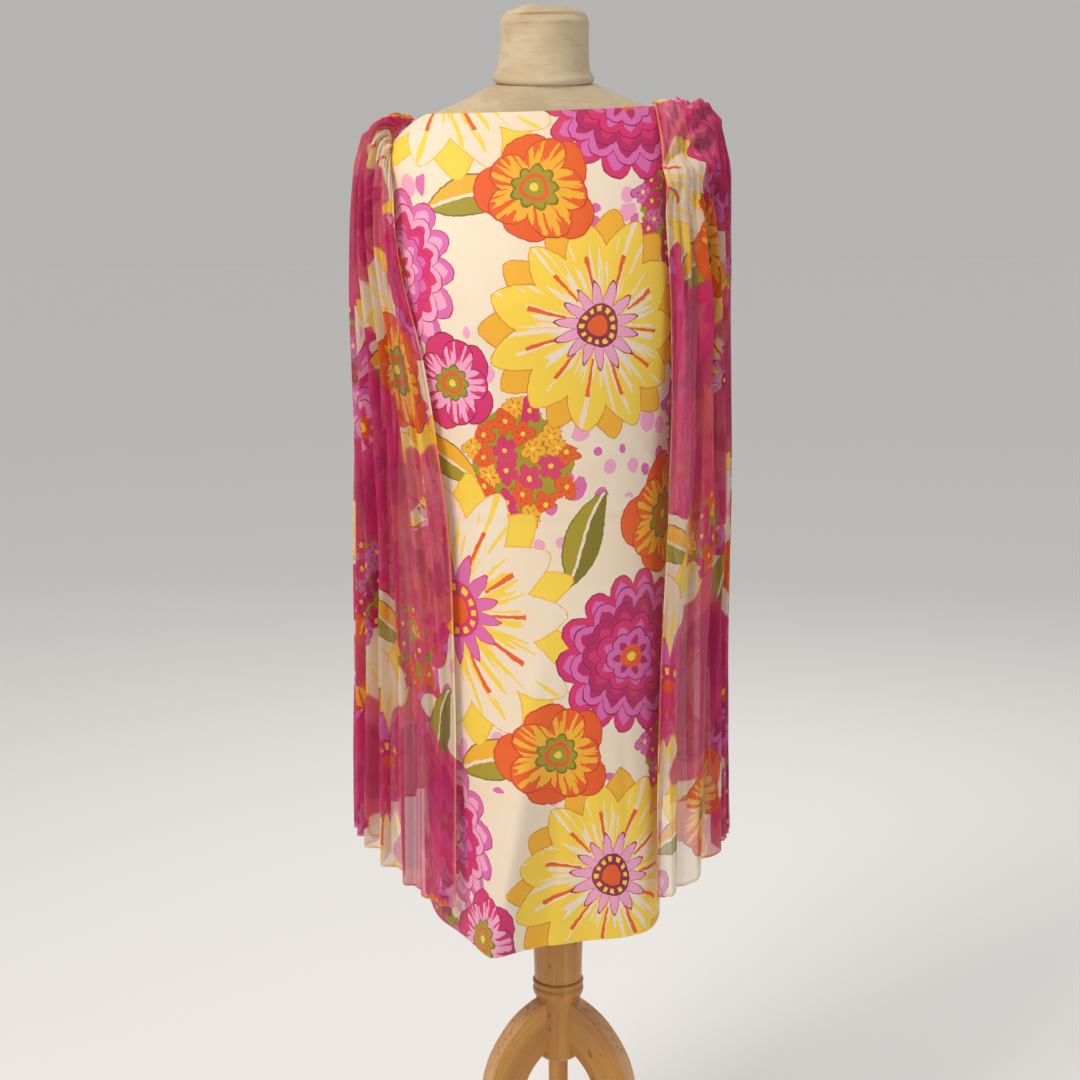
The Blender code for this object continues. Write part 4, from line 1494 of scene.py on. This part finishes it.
@dataclass(frozen=True)
class Wing:
    """A long panel of chiffon, gathered into the armhole, which falls free to its hem.

    The hang has, for each height, the half width, the front depth and the back depth of the curve that it
    follows, and the angles of its two edges. The seam has, for each share of the head, the angle and the
    height where it is sewn on, and the way that the cloth sets off.
    """

    name: str
    side: int  # 1 at +X
    hang: Table
    seam: Table
    puff: float  # how high the head stands over its seam
    head_gathers: float  # how deep the gathers stay at the head, as a share of those below it
    hem_rise: float  # how much higher the hem is away from its front corner
    shift: float  # how far the wing hangs out from the curve's own middle
    creases: tuple[Crease, ...]
    origin: tuple[float, float]  # where its lower corner lies on the print
    flat: tuple[float, float] = (0.60, 0.94)
    drawn_in: float = 1.35  # how much the gathers too fine to build draw the print in
    wall: float = 0.0005
    columns: int = 260
    rows: int = 150
    folds: int = 13
    depth: float = 0.0125  # of the folds, from their middle
    hem_z: float = 0.540
    top_z: float = 1.350  # where the hanging part starts, at the middle of the head
    top_drop: float = 0.045  # how much lower it starts at the two edges
    head: float = 0.24  # the share of its length that turns over the shoulder
    lay: float = 0.0012  # how far off the dress it is sewn
    set_off: tuple[float, float] = (0.012, 0.018)  # how it leaves the seam: outwards, and along its heading
    aspect: float = 1.5  # its length for each metre of its width
    grain: float = 0.3  # the share across, from its front edge, of the line that the print is placed by
    roll: float = 0.0040  # the width of its rolled edge

    def hang_point(self, u: Grid, z: Grid) -> Grid:
        """The smooth hanging part, as at +X."""
        half_width, front, back, front_edge, back_edge = self.hang(z)
        point = oval(np.radians(front_edge + (back_edge - front_edge) * u), half_width, front, back, 2.0)
        return point + np.stack([np.full_like(z, self.shift), np.zeros_like(z), z], -1)

    def smooth(self, u: Grid, v: Grid) -> Grid:
        """The wing without its gathers, as at +X. v is 0 at the hem and 1 at the seam."""
        top = self.top_z - self.top_drop * (2 * u - 1) ** 2
        low = self.hem_z + self.hem_rise * ease_in(u / 0.4)
        falling = self.hang_point(u, low + (top - low) * np.minimum(v / (1 - self.head), 1.0))
        angle, z, heading = self.seam(u)
        outward = Figure.normal(angle * self.side, z)
        sewn = Figure.point(angle * self.side, z) + outward * (DRESS_WALL + self.lay) - MIDDLE
        mirror = np.array((self.side, 1.0, 1.0))
        sewn, outward = sewn * mirror, outward * mirror
        turned = np.radians(heading)
        away = np.stack([np.sin(turned), -np.cos(turned), np.zeros_like(turned)], -1)
        puff = self.puff * (1 - 0.65 * np.abs(2 * u - 1))
        free = (0.15 + 0.85 * ease_in(u / 0.2))[..., None]
        leaving = sewn + (outward * self.set_off[0] + away * self.set_off[1]) * free + UP * puff[..., None]
        hung = self.hang_point(u, top)
        turning = hung + UP * (0.030 + 0.75 * self.puff)
        t = np.clip((1 - v) / self.head, 0.0, 1.0)[..., None]
        s = 1 - t
        over = sewn * s**3 + leaving * 3 * s * s * t + turning * 3 * s * t * t + hung * t**3
        return np.where((v <= 1 - self.head)[..., None], falling, over)

    def gathers(self, u: Grid, v: Grid) -> Grid:
        """How far the gathers, from the broad to the fine, push each place outwards."""
        side = self.side
        drift = 0.028 * wave(1.7 * u + 0.2 * side) + 0.014 * wave(2.6 * u + 0.6 * v)
        turns = self.folds * (u + drift)
        main = np.sin(math.tau * turns + 0.8 * side)
        full = ease_in((1 - v) / 0.35)
        deepest = 0.22 + 0.78 * full
        edge = 0.35 + 0.65 * ease_in(u / 0.3)
        swell = 0.75 + 0.25 * wave(1.3 * u + 0.17 * side)
        main = main - 0.16 * np.sin(2 * math.tau * turns)
        push = self.depth * edge * swell * (deepest * main + 0.22 * (1 - full))
        fine = wave(2.7 * turns + 0.5 * wave(1.1 * v + 0.7 * u) + 0.2 * side)
        finer = wave(5.3 * turns + 0.8 * wave(0.8 * v - 1.3 * u))
        some = 0.5 + 0.5 * wave(0.9 * v + 2.1 * u + 0.3 * side)
        near = ease_in((v - 0.55) / 0.35)
        push = push + 0.0013 * (0.4 + some) * fine + 0.0006 * (0.3 + near) * finer
        crumpled = wave(7 * v + 3 * u + 0.6 * wave(5 * u)) * wave(4 * v - 9 * u)
        head = ease_in((v - 0.74) / 0.10)
        return push * (1 - (1 - self.head_gathers) * head) + 0.0014 * near * crumpled

    def surface(self) -> Grid:
        """The middle surface, from the hem's lower left, seen from outside, to the seam."""
        v = np.linspace(0, 1, self.rows + 1)
        u, v = np.meshgrid(np.linspace(0, 1, self.columns + 1), v)
        along = u if self.side > 0 else 1 - u
        step = 0.002
        point = self.smooth(along, v)
        across = self.smooth(np.minimum(along + step, 1), v) - self.smooth(np.maximum(along - step, 0), v)
        rising = self.smooth(along, np.minimum(v + step, 1)) - self.smooth(along, np.maximum(v - step, 0))
        outward = unit(np.cross(across, rising))
        push = self.gathers(along, v) + WING_WALL / 2
        push = push + sum(crease.push(along, v, self.aspect) for crease in self.creases)
        sewn = ease_in((1 - v) / 0.03)
        point = point + outward * (push * (0.3 + 0.7 * sewn))[..., None]
        return point * (self.side, 1.0, 1.0) + MIDDLE

    def build(self) -> bpy.types.Object:
        """Build the wing, with its place on the printed cloth and its rolled hem and edges."""
        surface = self.surface()
        grain = round(self.columns * (self.grain if self.side > 0 else 1 - self.grain))
        across, up = measured(surface, grain)
        printed = (across - across[:, grain:grain + 1]) * self.drawn_in
        inside = np.minimum(np.minimum(across, across[:, -1:] - across), up)
        rolled = 1 - ease_in((inside - 0.0015) / (self.roll - 0.0015))
        cut = np.stack([printed + self.origin[0], up + self.origin[1]], -1)
        return Workshop.cloth(self.name, surface, cut, self.wall, rolled)


WINGS = (
    Wing(
        "right_wing",
        1,
        Table(
            (0.540, 0.208, 0.143, 0.160, 32.5, 146.0),
            (0.800, 0.204, 0.130, 0.150, 35.5, 146.0),
            (1.000, 0.206, 0.122, 0.140, 39.0, 144.0),
            (1.150, 0.204, 0.118, 0.131, 40.0, 140.0),
            (1.280, 0.202, 0.110, 0.122, 38.5, 132.0),
            (1.370, 0.201, 0.096, 0.105, 36.0, 126.0),
        ),
        Table(
            (0.00, 86.0, 1.421, -15.0),
            (0.10, 88.0, 1.416, 30.0),
            (0.20, 90.0, 1.409, 62.0),
            (0.40, 93.0, 1.397, 90.0),
            (0.70, 110.0, 1.372, 108.0),
            (1.00, 120.0, 1.310, 116.0),
        ),
        0.040,
        0.45,
        0.043,
        0.000,
        (
            Crease((0.02, 0.855), (0.16, 0.950), 0.016, 0.0042, 0.06),
            Crease((0.04, 0.850), (0.26, 0.935), 0.014, -0.0036, 0.05),
            Crease((0.05, 0.845), (0.34, 0.915), 0.018, 0.0048, 0.05),
            Crease((0.08, 0.838), (0.42, 0.885), 0.015, -0.0040, 0.04),
            Crease((0.08, 0.830), (0.46, 0.850), 0.018, 0.0044, 0.03),
            Crease((0.20, 0.965), (0.46, 0.905), 0.014, 0.0030, -0.05),
            Crease((0.30, 0.970), (0.60, 0.900), 0.018, -0.0036, -0.05),
            Crease((0.00, 0.832), (0.30, 0.815), 0.015, -0.0090, 0.04),
            Crease((0.00, 0.800), (0.26, 0.785), 0.022, 0.0090, 0.03),
            Crease((0.20, 0.800), (0.30, 0.735), 0.018, -0.0070, -0.10),
            Crease((0.00, 0.900), (0.50, 0.880), 0.060, 0.0050, 0.03),
            Crease((0.115, 0.790), (0.150, 0.600), 0.026, 0.0100, 0.03),
            Crease((0.055, 0.770), (0.075, 0.560), 0.014, -0.0060, 0.02),
            Crease((0.200, 0.760), (0.215, 0.560), 0.014, -0.0060, 0.02),
            Crease((0.62, 0.930), (0.80, 0.840), 0.020, 0.0044, -0.06),
            Crease((0.70, 0.950), (0.92, 0.850), 0.018, -0.0036, -0.05),
            Crease((0.66, 0.820), (0.90, 0.790), 0.020, 0.0050, 0.04),
        ),
        (0.30, 0.208),
    ),
    Wing(
        "left_wing",
        -1,
        Table(
            (0.540, 0.216, 0.145, 0.164, 31.0, 146.0),
            (0.800, 0.211, 0.130, 0.152, 31.0, 146.0),
            (1.000, 0.206, 0.123, 0.142, 34.0, 145.0),
            (1.150, 0.202, 0.119, 0.138, 42.5, 144.0),
            (1.280, 0.199, 0.108, 0.134, 55.0, 142.0),
            (1.370, 0.198, 0.094, 0.132, 57.0, 140.0),
        ),
        Table(
            (0.00, 83.0, 1.376, 40.0),
            (0.10, 85.0, 1.390, 70.0),
            (0.32, 88.0, 1.401, 92.0),
            (0.65, 92.0, 1.409, 122.0),
            (1.00, 95.0, 1.413, 156.0),
        ),
        0.014,
        0.80,
        0.056,
        0.005,
        (
            Crease((0.06, 0.960), (0.10, 0.780), 0.012, 0.0034, 0.03),
            Crease((0.13, 0.975), (0.15, 0.700), 0.012, -0.0040, 0.02),
            Crease((0.19, 0.980), (0.21, 0.740), 0.013, 0.0038, -0.03),
            Crease((0.30, 0.985), (0.22, 0.880), 0.012, -0.0030, 0.06),
            Crease((0.42, 0.985), (0.30, 0.860), 0.014, 0.0034, 0.06),
            Crease((0.55, 0.975), (0.40, 0.850), 0.014, -0.0034, 0.05),
            Crease((0.66, 0.970), (0.58, 0.840), 0.016, 0.0036, 0.04),
            Crease((0.80, 0.970), (0.76, 0.800), 0.016, -0.0036, -0.04),
            Crease((0.90, 0.960), (0.88, 0.780), 0.014, 0.0034, -0.03),
            Crease((0.24, 0.720), (0.27, 0.420), 0.020, 0.0050, 0.03),
            Crease((0.05, 0.600), (0.09, 0.250), 0.018, 0.0040, -0.03),
        ),
        (0.05, 0.33),
    ),
)


@dataclass(frozen=True)
class Form:
    """The padded torso and the neck block on it."""

    bottom_z: float = 0.740
    rounding: float = 0.012  # how high the underside's rounded edge is
    tucked_in: float = 0.09  # how much smaller the underside is than the form above it
    sides: int = 144
    neck_back: float = 0.002  # how far the neck's middle lies behind the form's
    # place up the side and over the top: height above the neck seam, radius, rise to the back
    neck_rings: Table = Table(
        (0, 0.0003, 0.0522, 0.100),
        (1, 0.0028, 0.0546, 0.100),
        (2, 0.0062, 0.0550, 0.095),
        (3, 0.0096, 0.0526, 0.085),
        (4, 0.0150, 0.0502, 0.065),
        (6, 0.0400, 0.0492, 0.020),
        (8, 0.0590, 0.0493, 0.000),
        (9, 0.0640, 0.0494, 0.000),
        (10, 0.0695, 0.0484, 0.000),
        (11, 0.0745, 0.0450, 0.000),
        (12, 0.0784, 0.0385, 0.000),
        (13, 0.0808, 0.0250, 0.000),
        (14, 0.0815, 0.0100, 0.000),
    )
    # where the cover is bunched on top: across, to the back, how wide, how long, which way, how high
    neck_bunches: tuple[tuple[float, ...], ...] = (
        (-0.018, -0.014, 0.0080, 0.018, 10.0, 0.0030),
        (-0.020, 0.012, 0.0080, 0.016, -40.0, 0.0030),
        (0.012, -0.018, 0.0035, 0.014, 50.0, -0.0032),
        (0.018, -0.010, 0.0050, 0.016, 75.0, 0.0022),
        (-0.034, -0.016, 0.0035, 0.012, 45.0, -0.0024),
        (0.000, -0.028, 0.0035, 0.018, 5.0, -0.0030),
        (0.018, 0.018, 0.0050, 0.014, 130.0, 0.0028),
        (-0.002, 0.022, 0.0040, 0.014, 10.0, -0.0026),
        (0.030, 0.002, 0.0035, 0.012, 90.0, -0.0024),
    )

    def torso(self) -> bpy.types.Object:
        """Build the torso, from its flat underside to the neck seam."""
        low = self.bottom_z + np.array((0.0, 0.0008, 0.002, 0.004, 0.0065, 0.009))
        z = np.concatenate([low, np.linspace(self.bottom_z + self.rounding, NECK_SEAM_Z, 110)])
        angle, z = np.meshgrid(np.linspace(180, 540, self.sides, endpoint=False), z)
        point = Figure.form(angle, z)
        under = 1 - np.minimum((z - self.bottom_z) / self.rounding, 1.0)
        point[..., 2] += (z - point[..., 2]) * under
        middle = np.stack([np.full_like(z, MIDDLE[0]), np.full_like(z, MIDDLE[1]), point[..., 2]], -1)
        inward = (1 - self.tucked_in * under**2)[..., None]
        return Workshop.rounds("torso", middle + (point - middle) * inward)

    def neck(self) -> bpy.types.Object:
        """Build the neck block, whose cover is turned under at its foot and bunched on top."""
        place = np.concatenate([np.linspace(0, 4, 26), np.linspace(4.2, 8, 24), np.linspace(8.15, 14, 40)])
        angle, place = np.meshgrid(np.linspace(180, 540, self.sides, endpoint=False), place)
        height, radius, rise = self.neck_rings(place)
        turned = np.radians(angle)
        foot = np.exp(-(((place - 2.4) / 1.6) ** 2))
        lobe = np.exp(-(((place - 3.2) / 1.5) ** 2)) * np.maximum(-np.sin(turned + 0.15), 0) ** 4
        tucked = np.exp(-(((place - 10.1) / 0.50) ** 2)) * (0.5 + 0.5 * np.cos(turned + 0.3)) ** 4
        rim = np.exp(-(((place - 8.9) / 0.55) ** 2)) * np.maximum(np.cos(turned), 0)
        radius = radius + 0.0048 * lobe - 0.0052 * tucked + 0.0012 * rim
        radius = radius + foot * 0.0006 * np.sin(3 * turned + 1)
        radius = radius + 0.0007 * np.sin(2 * turned + 0.5) * ease_in((place - 3) / 3)
        x, y = radius * np.sin(turned), self.neck_back - radius * np.cos(turned)
        height = height + rise * y + foot * 0.0012 * np.sin(turned)
        on_top = ease_in((place - 9.2) / 2.0)
        for at_x, at_y, width, length, way, lift in self.neck_bunches:
            cos, sin = math.cos(math.radians(way)), math.sin(math.radians(way))
            along, off = (x - at_x) * cos + (y - at_y) * sin, (y - at_y) * cos - (x - at_x) * sin
            height = height + on_top * lift * np.exp(-((along / length) ** 2) - (off / width) ** 2)
        return Workshop.rounds("neck_block", np.stack([x, y, NECK_SEAM_Z + height], -1) + MIDDLE)

    def build(self) -> tuple[bpy.types.Object, bpy.types.Object]:
        """Build the torso and the neck block."""
        return self.torso(), self.neck()


@dataclass(frozen=True)
class Stand:
    """The turned pole and hub, and three plank legs."""

    leg_thickness: float = 0.024
    leg_edge: float = 0.003  # how far its edges are rounded
    leg_start: float = 0.008  # how near the axis a leg ends, inside the hub, clear of the other two
    leg_steps: int = 44
    knee_z: float = 0.270  # above it, the outer face is scuffed
    toe_z: float = 0.030  # and below it too
    leg_angles: tuple[float, ...] = (-64.0, 55.0, 176.0)  # degrees round from the front: left, right and back

    # radius and height, from the top down
    pole_profile: tuple[tuple[float, float], ...] = (
        (0.0, 0.7397), (0.0300, 0.7397), (0.0320, 0.7380), (0.0325, 0.5200), (0.0320, 0.4900),
        (0.0310, 0.4600), (0.0299, 0.4400), (0.0290, 0.4180), (0.0286, 0.3985), (0.0280, 0.3963),
        (0.0, 0.3963),
    )
    hub_profile: tuple[tuple[float, float], ...] = (
        (0.0, 0.3960), (0.0284, 0.3960), (0.0298, 0.3955), (0.0306, 0.3943), (0.0308, 0.3928),
        (0.0305, 0.3912), (0.0297, 0.3900), (0.0289, 0.3893), (0.0287, 0.3885), (0.0290, 0.3878),
        (0.0299, 0.3868), (0.0305, 0.3852), (0.0307, 0.3830), (0.0304, 0.3805), (0.0297, 0.3784),
        (0.0288, 0.3770), (0.0281, 0.3758), (0.0277, 0.3740), (0.0271, 0.3700), (0.0266, 0.3650),
        (0.0262, 0.3580), (0.0260, 0.3400), (0.0260, 0.3080), (0.0257, 0.3040), (0.0249, 0.3003),
        (0.0236, 0.2975), (0.0218, 0.2960), (0.0, 0.2960),
    )
    # place along the leg: reach from the axis, height, depth of the plank
    leg_line: Table = Table(
        (-0.7, 0.004, 0.345, 0.061),
        (0, 0.022, 0.340, 0.059),
        (1, 0.047, 0.325, 0.055),
        (2, 0.072, 0.291, 0.050),
        (3, 0.086, 0.235, 0.045),
        (4, 0.108, 0.170, 0.041),
        (5, 0.143, 0.105, 0.037),
        (6, 0.190, 0.050, 0.033),
        (7, 0.240, 0.0145, 0.029),
        (8, 0.284, 0.0114, 0.023),
    )

    def leg(self, name: str) -> bpy.types.Object:
        """Build one leg that reaches to +X from the origin's axis: a section drawn along its line."""
        place = np.linspace(*self.leg_line.places[[0, -1]], self.leg_steps)
        reach, z, depth = self.leg_line(place)
        reach_on, z_on, _ = self.leg_line(place + 0.01)
        reach_off, z_off, _ = self.leg_line(place - 0.01)
        heading = np.arctan2(z_on - z_off, reach_on - reach_off)
        bpy.ops.mesh.primitive_plane_add(size=1, rotation=(0, math.pi / 2, 0))
        leg = bpy.context.object
        leg.scale = (depth[0], self.leg_thickness, 1.0)
        bpy.ops.object.transform_apply(location=True, rotation=True, scale=True)
        bpy.ops.object.mode_set(mode="EDIT")
        bpy.ops.mesh.select_all(action="SELECT")
        middle = Vector((reach[0], 0.0, z[0]))
        bpy.ops.transform.translate(value=middle)
        bpy.ops.transform.rotate(value=heading[0], orient_axis="Y", center_override=middle)
        for step in range(1, self.leg_steps):
            bpy.ops.mesh.extrude_region_move()
            bpy.ops.transform.rotate(value=-heading[step - 1], orient_axis="Y", center_override=middle)
            bpy.ops.transform.resize(value=(1, 1, depth[step] / depth[step - 1]), center_override=middle)
            bpy.ops.transform.rotate(value=heading[step], orient_axis="Y", center_override=middle)
            onward = Vector((reach[step], 0.0, z[step])) - middle
            bpy.ops.transform.translate(value=onward)
            middle += onward
        for cut, inward in (((0, 0, 0), (0, 0, 1)), ((self.leg_start, 0, 0), (1, 0, 0))):
            bpy.ops.mesh.select_all(action="SELECT")
            bpy.ops.mesh.bisect(plane_co=cut, plane_no=inward, use_fill=True, clear_inner=True)
        bpy.ops.mesh.select_all(action="SELECT")
        bpy.ops.mesh.normals_make_consistent(inside=False)
        bpy.ops.object.mode_set(mode="OBJECT")
        edges = leg.modifiers.new("edges", "BEVEL")
        edges.width = self.leg_edge
        edges.segments = 4
        edges.angle_limit = math.radians(50)
        Workshop.settle(leg, name)
        flats = leg.modifiers.new("flats", "WEIGHTED_NORMAL")
        bpy.ops.object.modifier_apply(modifier=flats.name)
        self.wear(leg, reach, z, heading)
        return leg

    def wear(self, leg: bpy.types.Object, reach: Grid, z: Grid, heading: Grid) -> None:
        """Mark a leg's grain along its line, its outer face as worn, and painted light on that face.

        Args:
            leg: The leg.
            reach: How far from the axis each place of its line is.
            z: The height of each.
            heading: The line's slope there, in radians.
        """
        at = Workshop.points(leg)
        away = (at[:, None, 0] - reach) ** 2 + (at[:, None, 2] - z) ** 2
        nearest = away.argmin(1)
        turn = heading[nearest]
        x, y = at[:, 0] - reach[nearest], at[:, 2] - z[nearest]
        length = np.concatenate([[0.0], np.cumsum(np.hypot(np.diff(reach), np.diff(z)))])
        deep = y * np.cos(turn) - x * np.sin(turn)
        along = length[nearest] + x * np.cos(turn) + y * np.sin(turn)
        Workshop.mark(leg, "grain", np.stack([along, at[:, 1], deep], -1))
        outer = ease_in((self.leg_thickness / 2 - np.abs(at[:, 1])) / self.leg_edge) * (deep > 0)
        knee, toe = ease_in((at[:, 2] - self.knee_z) / 0.06), ease_in((self.toe_z - at[:, 2]) / 0.02)
        Workshop.mark(leg, "worn", WOOD_WEAR + 0.30 * outer * np.maximum(knee, 0.8 * toe) + 0.06 * outer)
        # painted light on the outer face
        Workshop.mark(leg, "painted_light", outer)

    def build(self) -> list[bpy.types.Object]:
        """Build the pole, the hub and the legs."""
        pole = Workshop.turned("turned_pole", self.pole_profile)
        hub = Workshop.turned("turned_hub", self.hub_profile)
        first = self.leg("left_leg")
        legs = [first]
        for name in ("right_leg", "back_leg"):
            copy = first.copy()
            copy.data = first.data.copy()
            copy.name = copy.data.name = name
            bpy.context.collection.objects.link(copy)
            legs.append(copy)
        for leg, angle in zip(legs, self.leg_angles):
            leg.matrix_world = Matrix.Translation(POLE) @ Matrix.Rotation(math.radians(angle - 90), 4, "Z")
            Workshop.alone(leg)
            bpy.ops.object.transform_apply(location=True, rotation=True, scale=True)
        return [pole, hub, *legs]


@dataclass(frozen=True)
class Lamp:
    """A soft studio light: where it stands, how large it is, how bright, and its colour."""

    name: str
    place: tuple[float, float, float]
    size: float
    watts: float
    colour: Colour

    def build(self) -> None:
        """Build the light, aimed at the dress."""
        data = bpy.data.lights.new(self.name, "AREA")
        data.size, data.energy, data.color = self.size, self.watts, self.colour
        lamp = bpy.data.objects.new(self.name, data)
        lamp.location = self.place
        lamp.rotation_euler = (Vector((0, 0, 1.0)) - Vector(self.place)).to_track_quat("-Z", "Y").to_euler()
        bpy.context.collection.objects.link(lamp)


@dataclass(frozen=True)
class Studio:
    """The floor, the lights and the camera, which stands as it did for the photograph.

    Its place is given by the degrees round from the front, the level distance from the pole, the height, and
    how far it stands to its own right. The pitch and the roll are in degrees, and the lens is in millimetres.
    """

    azimuth: float = -4.0
    distance: float = 2.084
    height: float = 1.341
    aside: float = -0.0178
    pitch: float = -11.0
    roll: float = -0.45
    lens: float = 61.13
    film: float = 36.0  # the width of the film behind it, in millimetres
    floor_size: float = 60.0
    air: Colour = (0.77, 0.76, 0.74)
    air_strength: float = 0.60
    lamps: tuple[Lamp, ...] = (
        Lamp("key", (-1.5, -1.5, 2.9), 0.9, 48.0, (1.0, 0.93, 0.85)),
        Lamp("fill", (2.3, -1.9, 1.7), 1.8, 8.0, (0.80, 0.90, 1.0)),
        Lamp("back", (0.6, 2.2, 2.6), 1.6, 22.0, (1.0, 0.97, 0.93)),
    )

    def build(self, effects: Effects) -> None:
        """Build the whole studio."""
        bpy.ops.object.select_all(action="DESELECT")
        bpy.ops.mesh.primitive_plane_add(size=self.floor_size)
        floor = bpy.context.object
        floor.name = floor.data.name = "floor"
        floor.data.materials.append(Plaster("floor_paint", 0.85).build(effects))
        for lamp in self.lamps:
            lamp.build()
        world = bpy.data.worlds.new("studio_air")
        world.use_nodes = True
        background = world.node_tree.nodes["Background"]
        background.inputs["Color"].default_value = (*self.air, 1.0)
        background.inputs["Strength"].default_value = self.air_strength
        bpy.context.scene.world = world
        bpy.context.scene.view_settings.view_transform = "Standard"
        self.camera()

    def camera(self) -> None:
        """Place the camera."""
        data = bpy.data.cameras.new("photo")
        data.lens, data.sensor_width = self.lens, self.film
        camera = bpy.data.objects.new("photo", data)
        bpy.context.collection.objects.link(camera)
        turn = math.radians(self.azimuth)
        back = Vector((math.sin(turn), -math.cos(turn), 0.0)) * self.distance
        right = Vector((math.cos(turn), math.sin(turn), 0.0)) * self.aside
        pitched = Matrix.Rotation(math.radians(90 + self.pitch), 4, "X")
        turned = Matrix.Rotation(turn, 4, "Z") @ pitched @ Matrix.Rotation(math.radians(self.roll), 4, "Z")
        stand = Vector(POLE) + back + right + Vector((0, 0, self.height))
        camera.matrix_world = Matrix.Translation(stand) @ turned
        bpy.context.scene.camera = camera


class Slot(Enum):
    """The pieces' material slots."""

    PRINTED = "printed_cloth"
    CHIFFON = "printed_chiffon"
    FORM = "form_cloth"
    WOOD = "varnished_wood"


@dataclass(frozen=True)
class Piece:
    """One piece of the whole: its object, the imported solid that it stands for, and its finish."""

    shown: bpy.types.Object
    node: str
    slot: Slot

    def place(self, material: bpy.types.Material) -> None:
        """Finish the piece, attach it to the body, hide the imported solid that it stands for, and log it.

        Args:
            material: The finish's material.
        """
        self.shown.data.materials.clear()
        self.shown.data.materials.append(material)
        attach(self.shown, BODY)
        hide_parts(self.node)
        LOG.info("%s: %d faces, for %s", self.shown.name, len(self.shown.data.polygons), self.node)


def write_sizes() -> None:
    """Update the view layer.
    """
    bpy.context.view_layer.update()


def main() -> None:
    """Build every piece, finish it and light it."""
    logging.basicConfig(level=logging.INFO, format="%(name)s %(message)s")
    effects = Effects()
    finishes = {
        Slot.PRINTED: PrintedCrepe("printed_crepe", 0.62),
        Slot.CHIFFON: PrintedChiffon("printed_chiffon_cloth", 0.5),
        Slot.FORM: Calico("calico", 0.9),
        Slot.WOOD: Varnish("honey_varnish", 0.38),
    }
    materials = {slot: finish.build(effects) for slot, finish in finishes.items()}
    panels = Dress().build()
    wings = [wing.build() for wing in WINGS]
    torso, neck = Form().build()
    stand = Stand().build()
    pieces = [Piece(sheet, CUTS[panel].node, Slot.PRINTED) for panel, sheet in panels.items()]
    pieces += [Piece(wing, node, Slot.CHIFFON) for wing, node in zip(wings, ("wing_right", "wing_left"))]
    pieces += [Piece(torso, "form_torso", Slot.FORM), Piece(neck, "form_neck", Slot.FORM)]
    nodes = ("pole", "hub", "leg_1", "leg_2", "leg_3")
    pieces += [Piece(part, node, Slot.WOOD) for part, node in zip(stand, nodes)]
    for piece in pieces:
        piece.place(materials[piece.slot])
    Studio().build(effects)
    write_sizes()


if __name__ == "__main__":
    main()
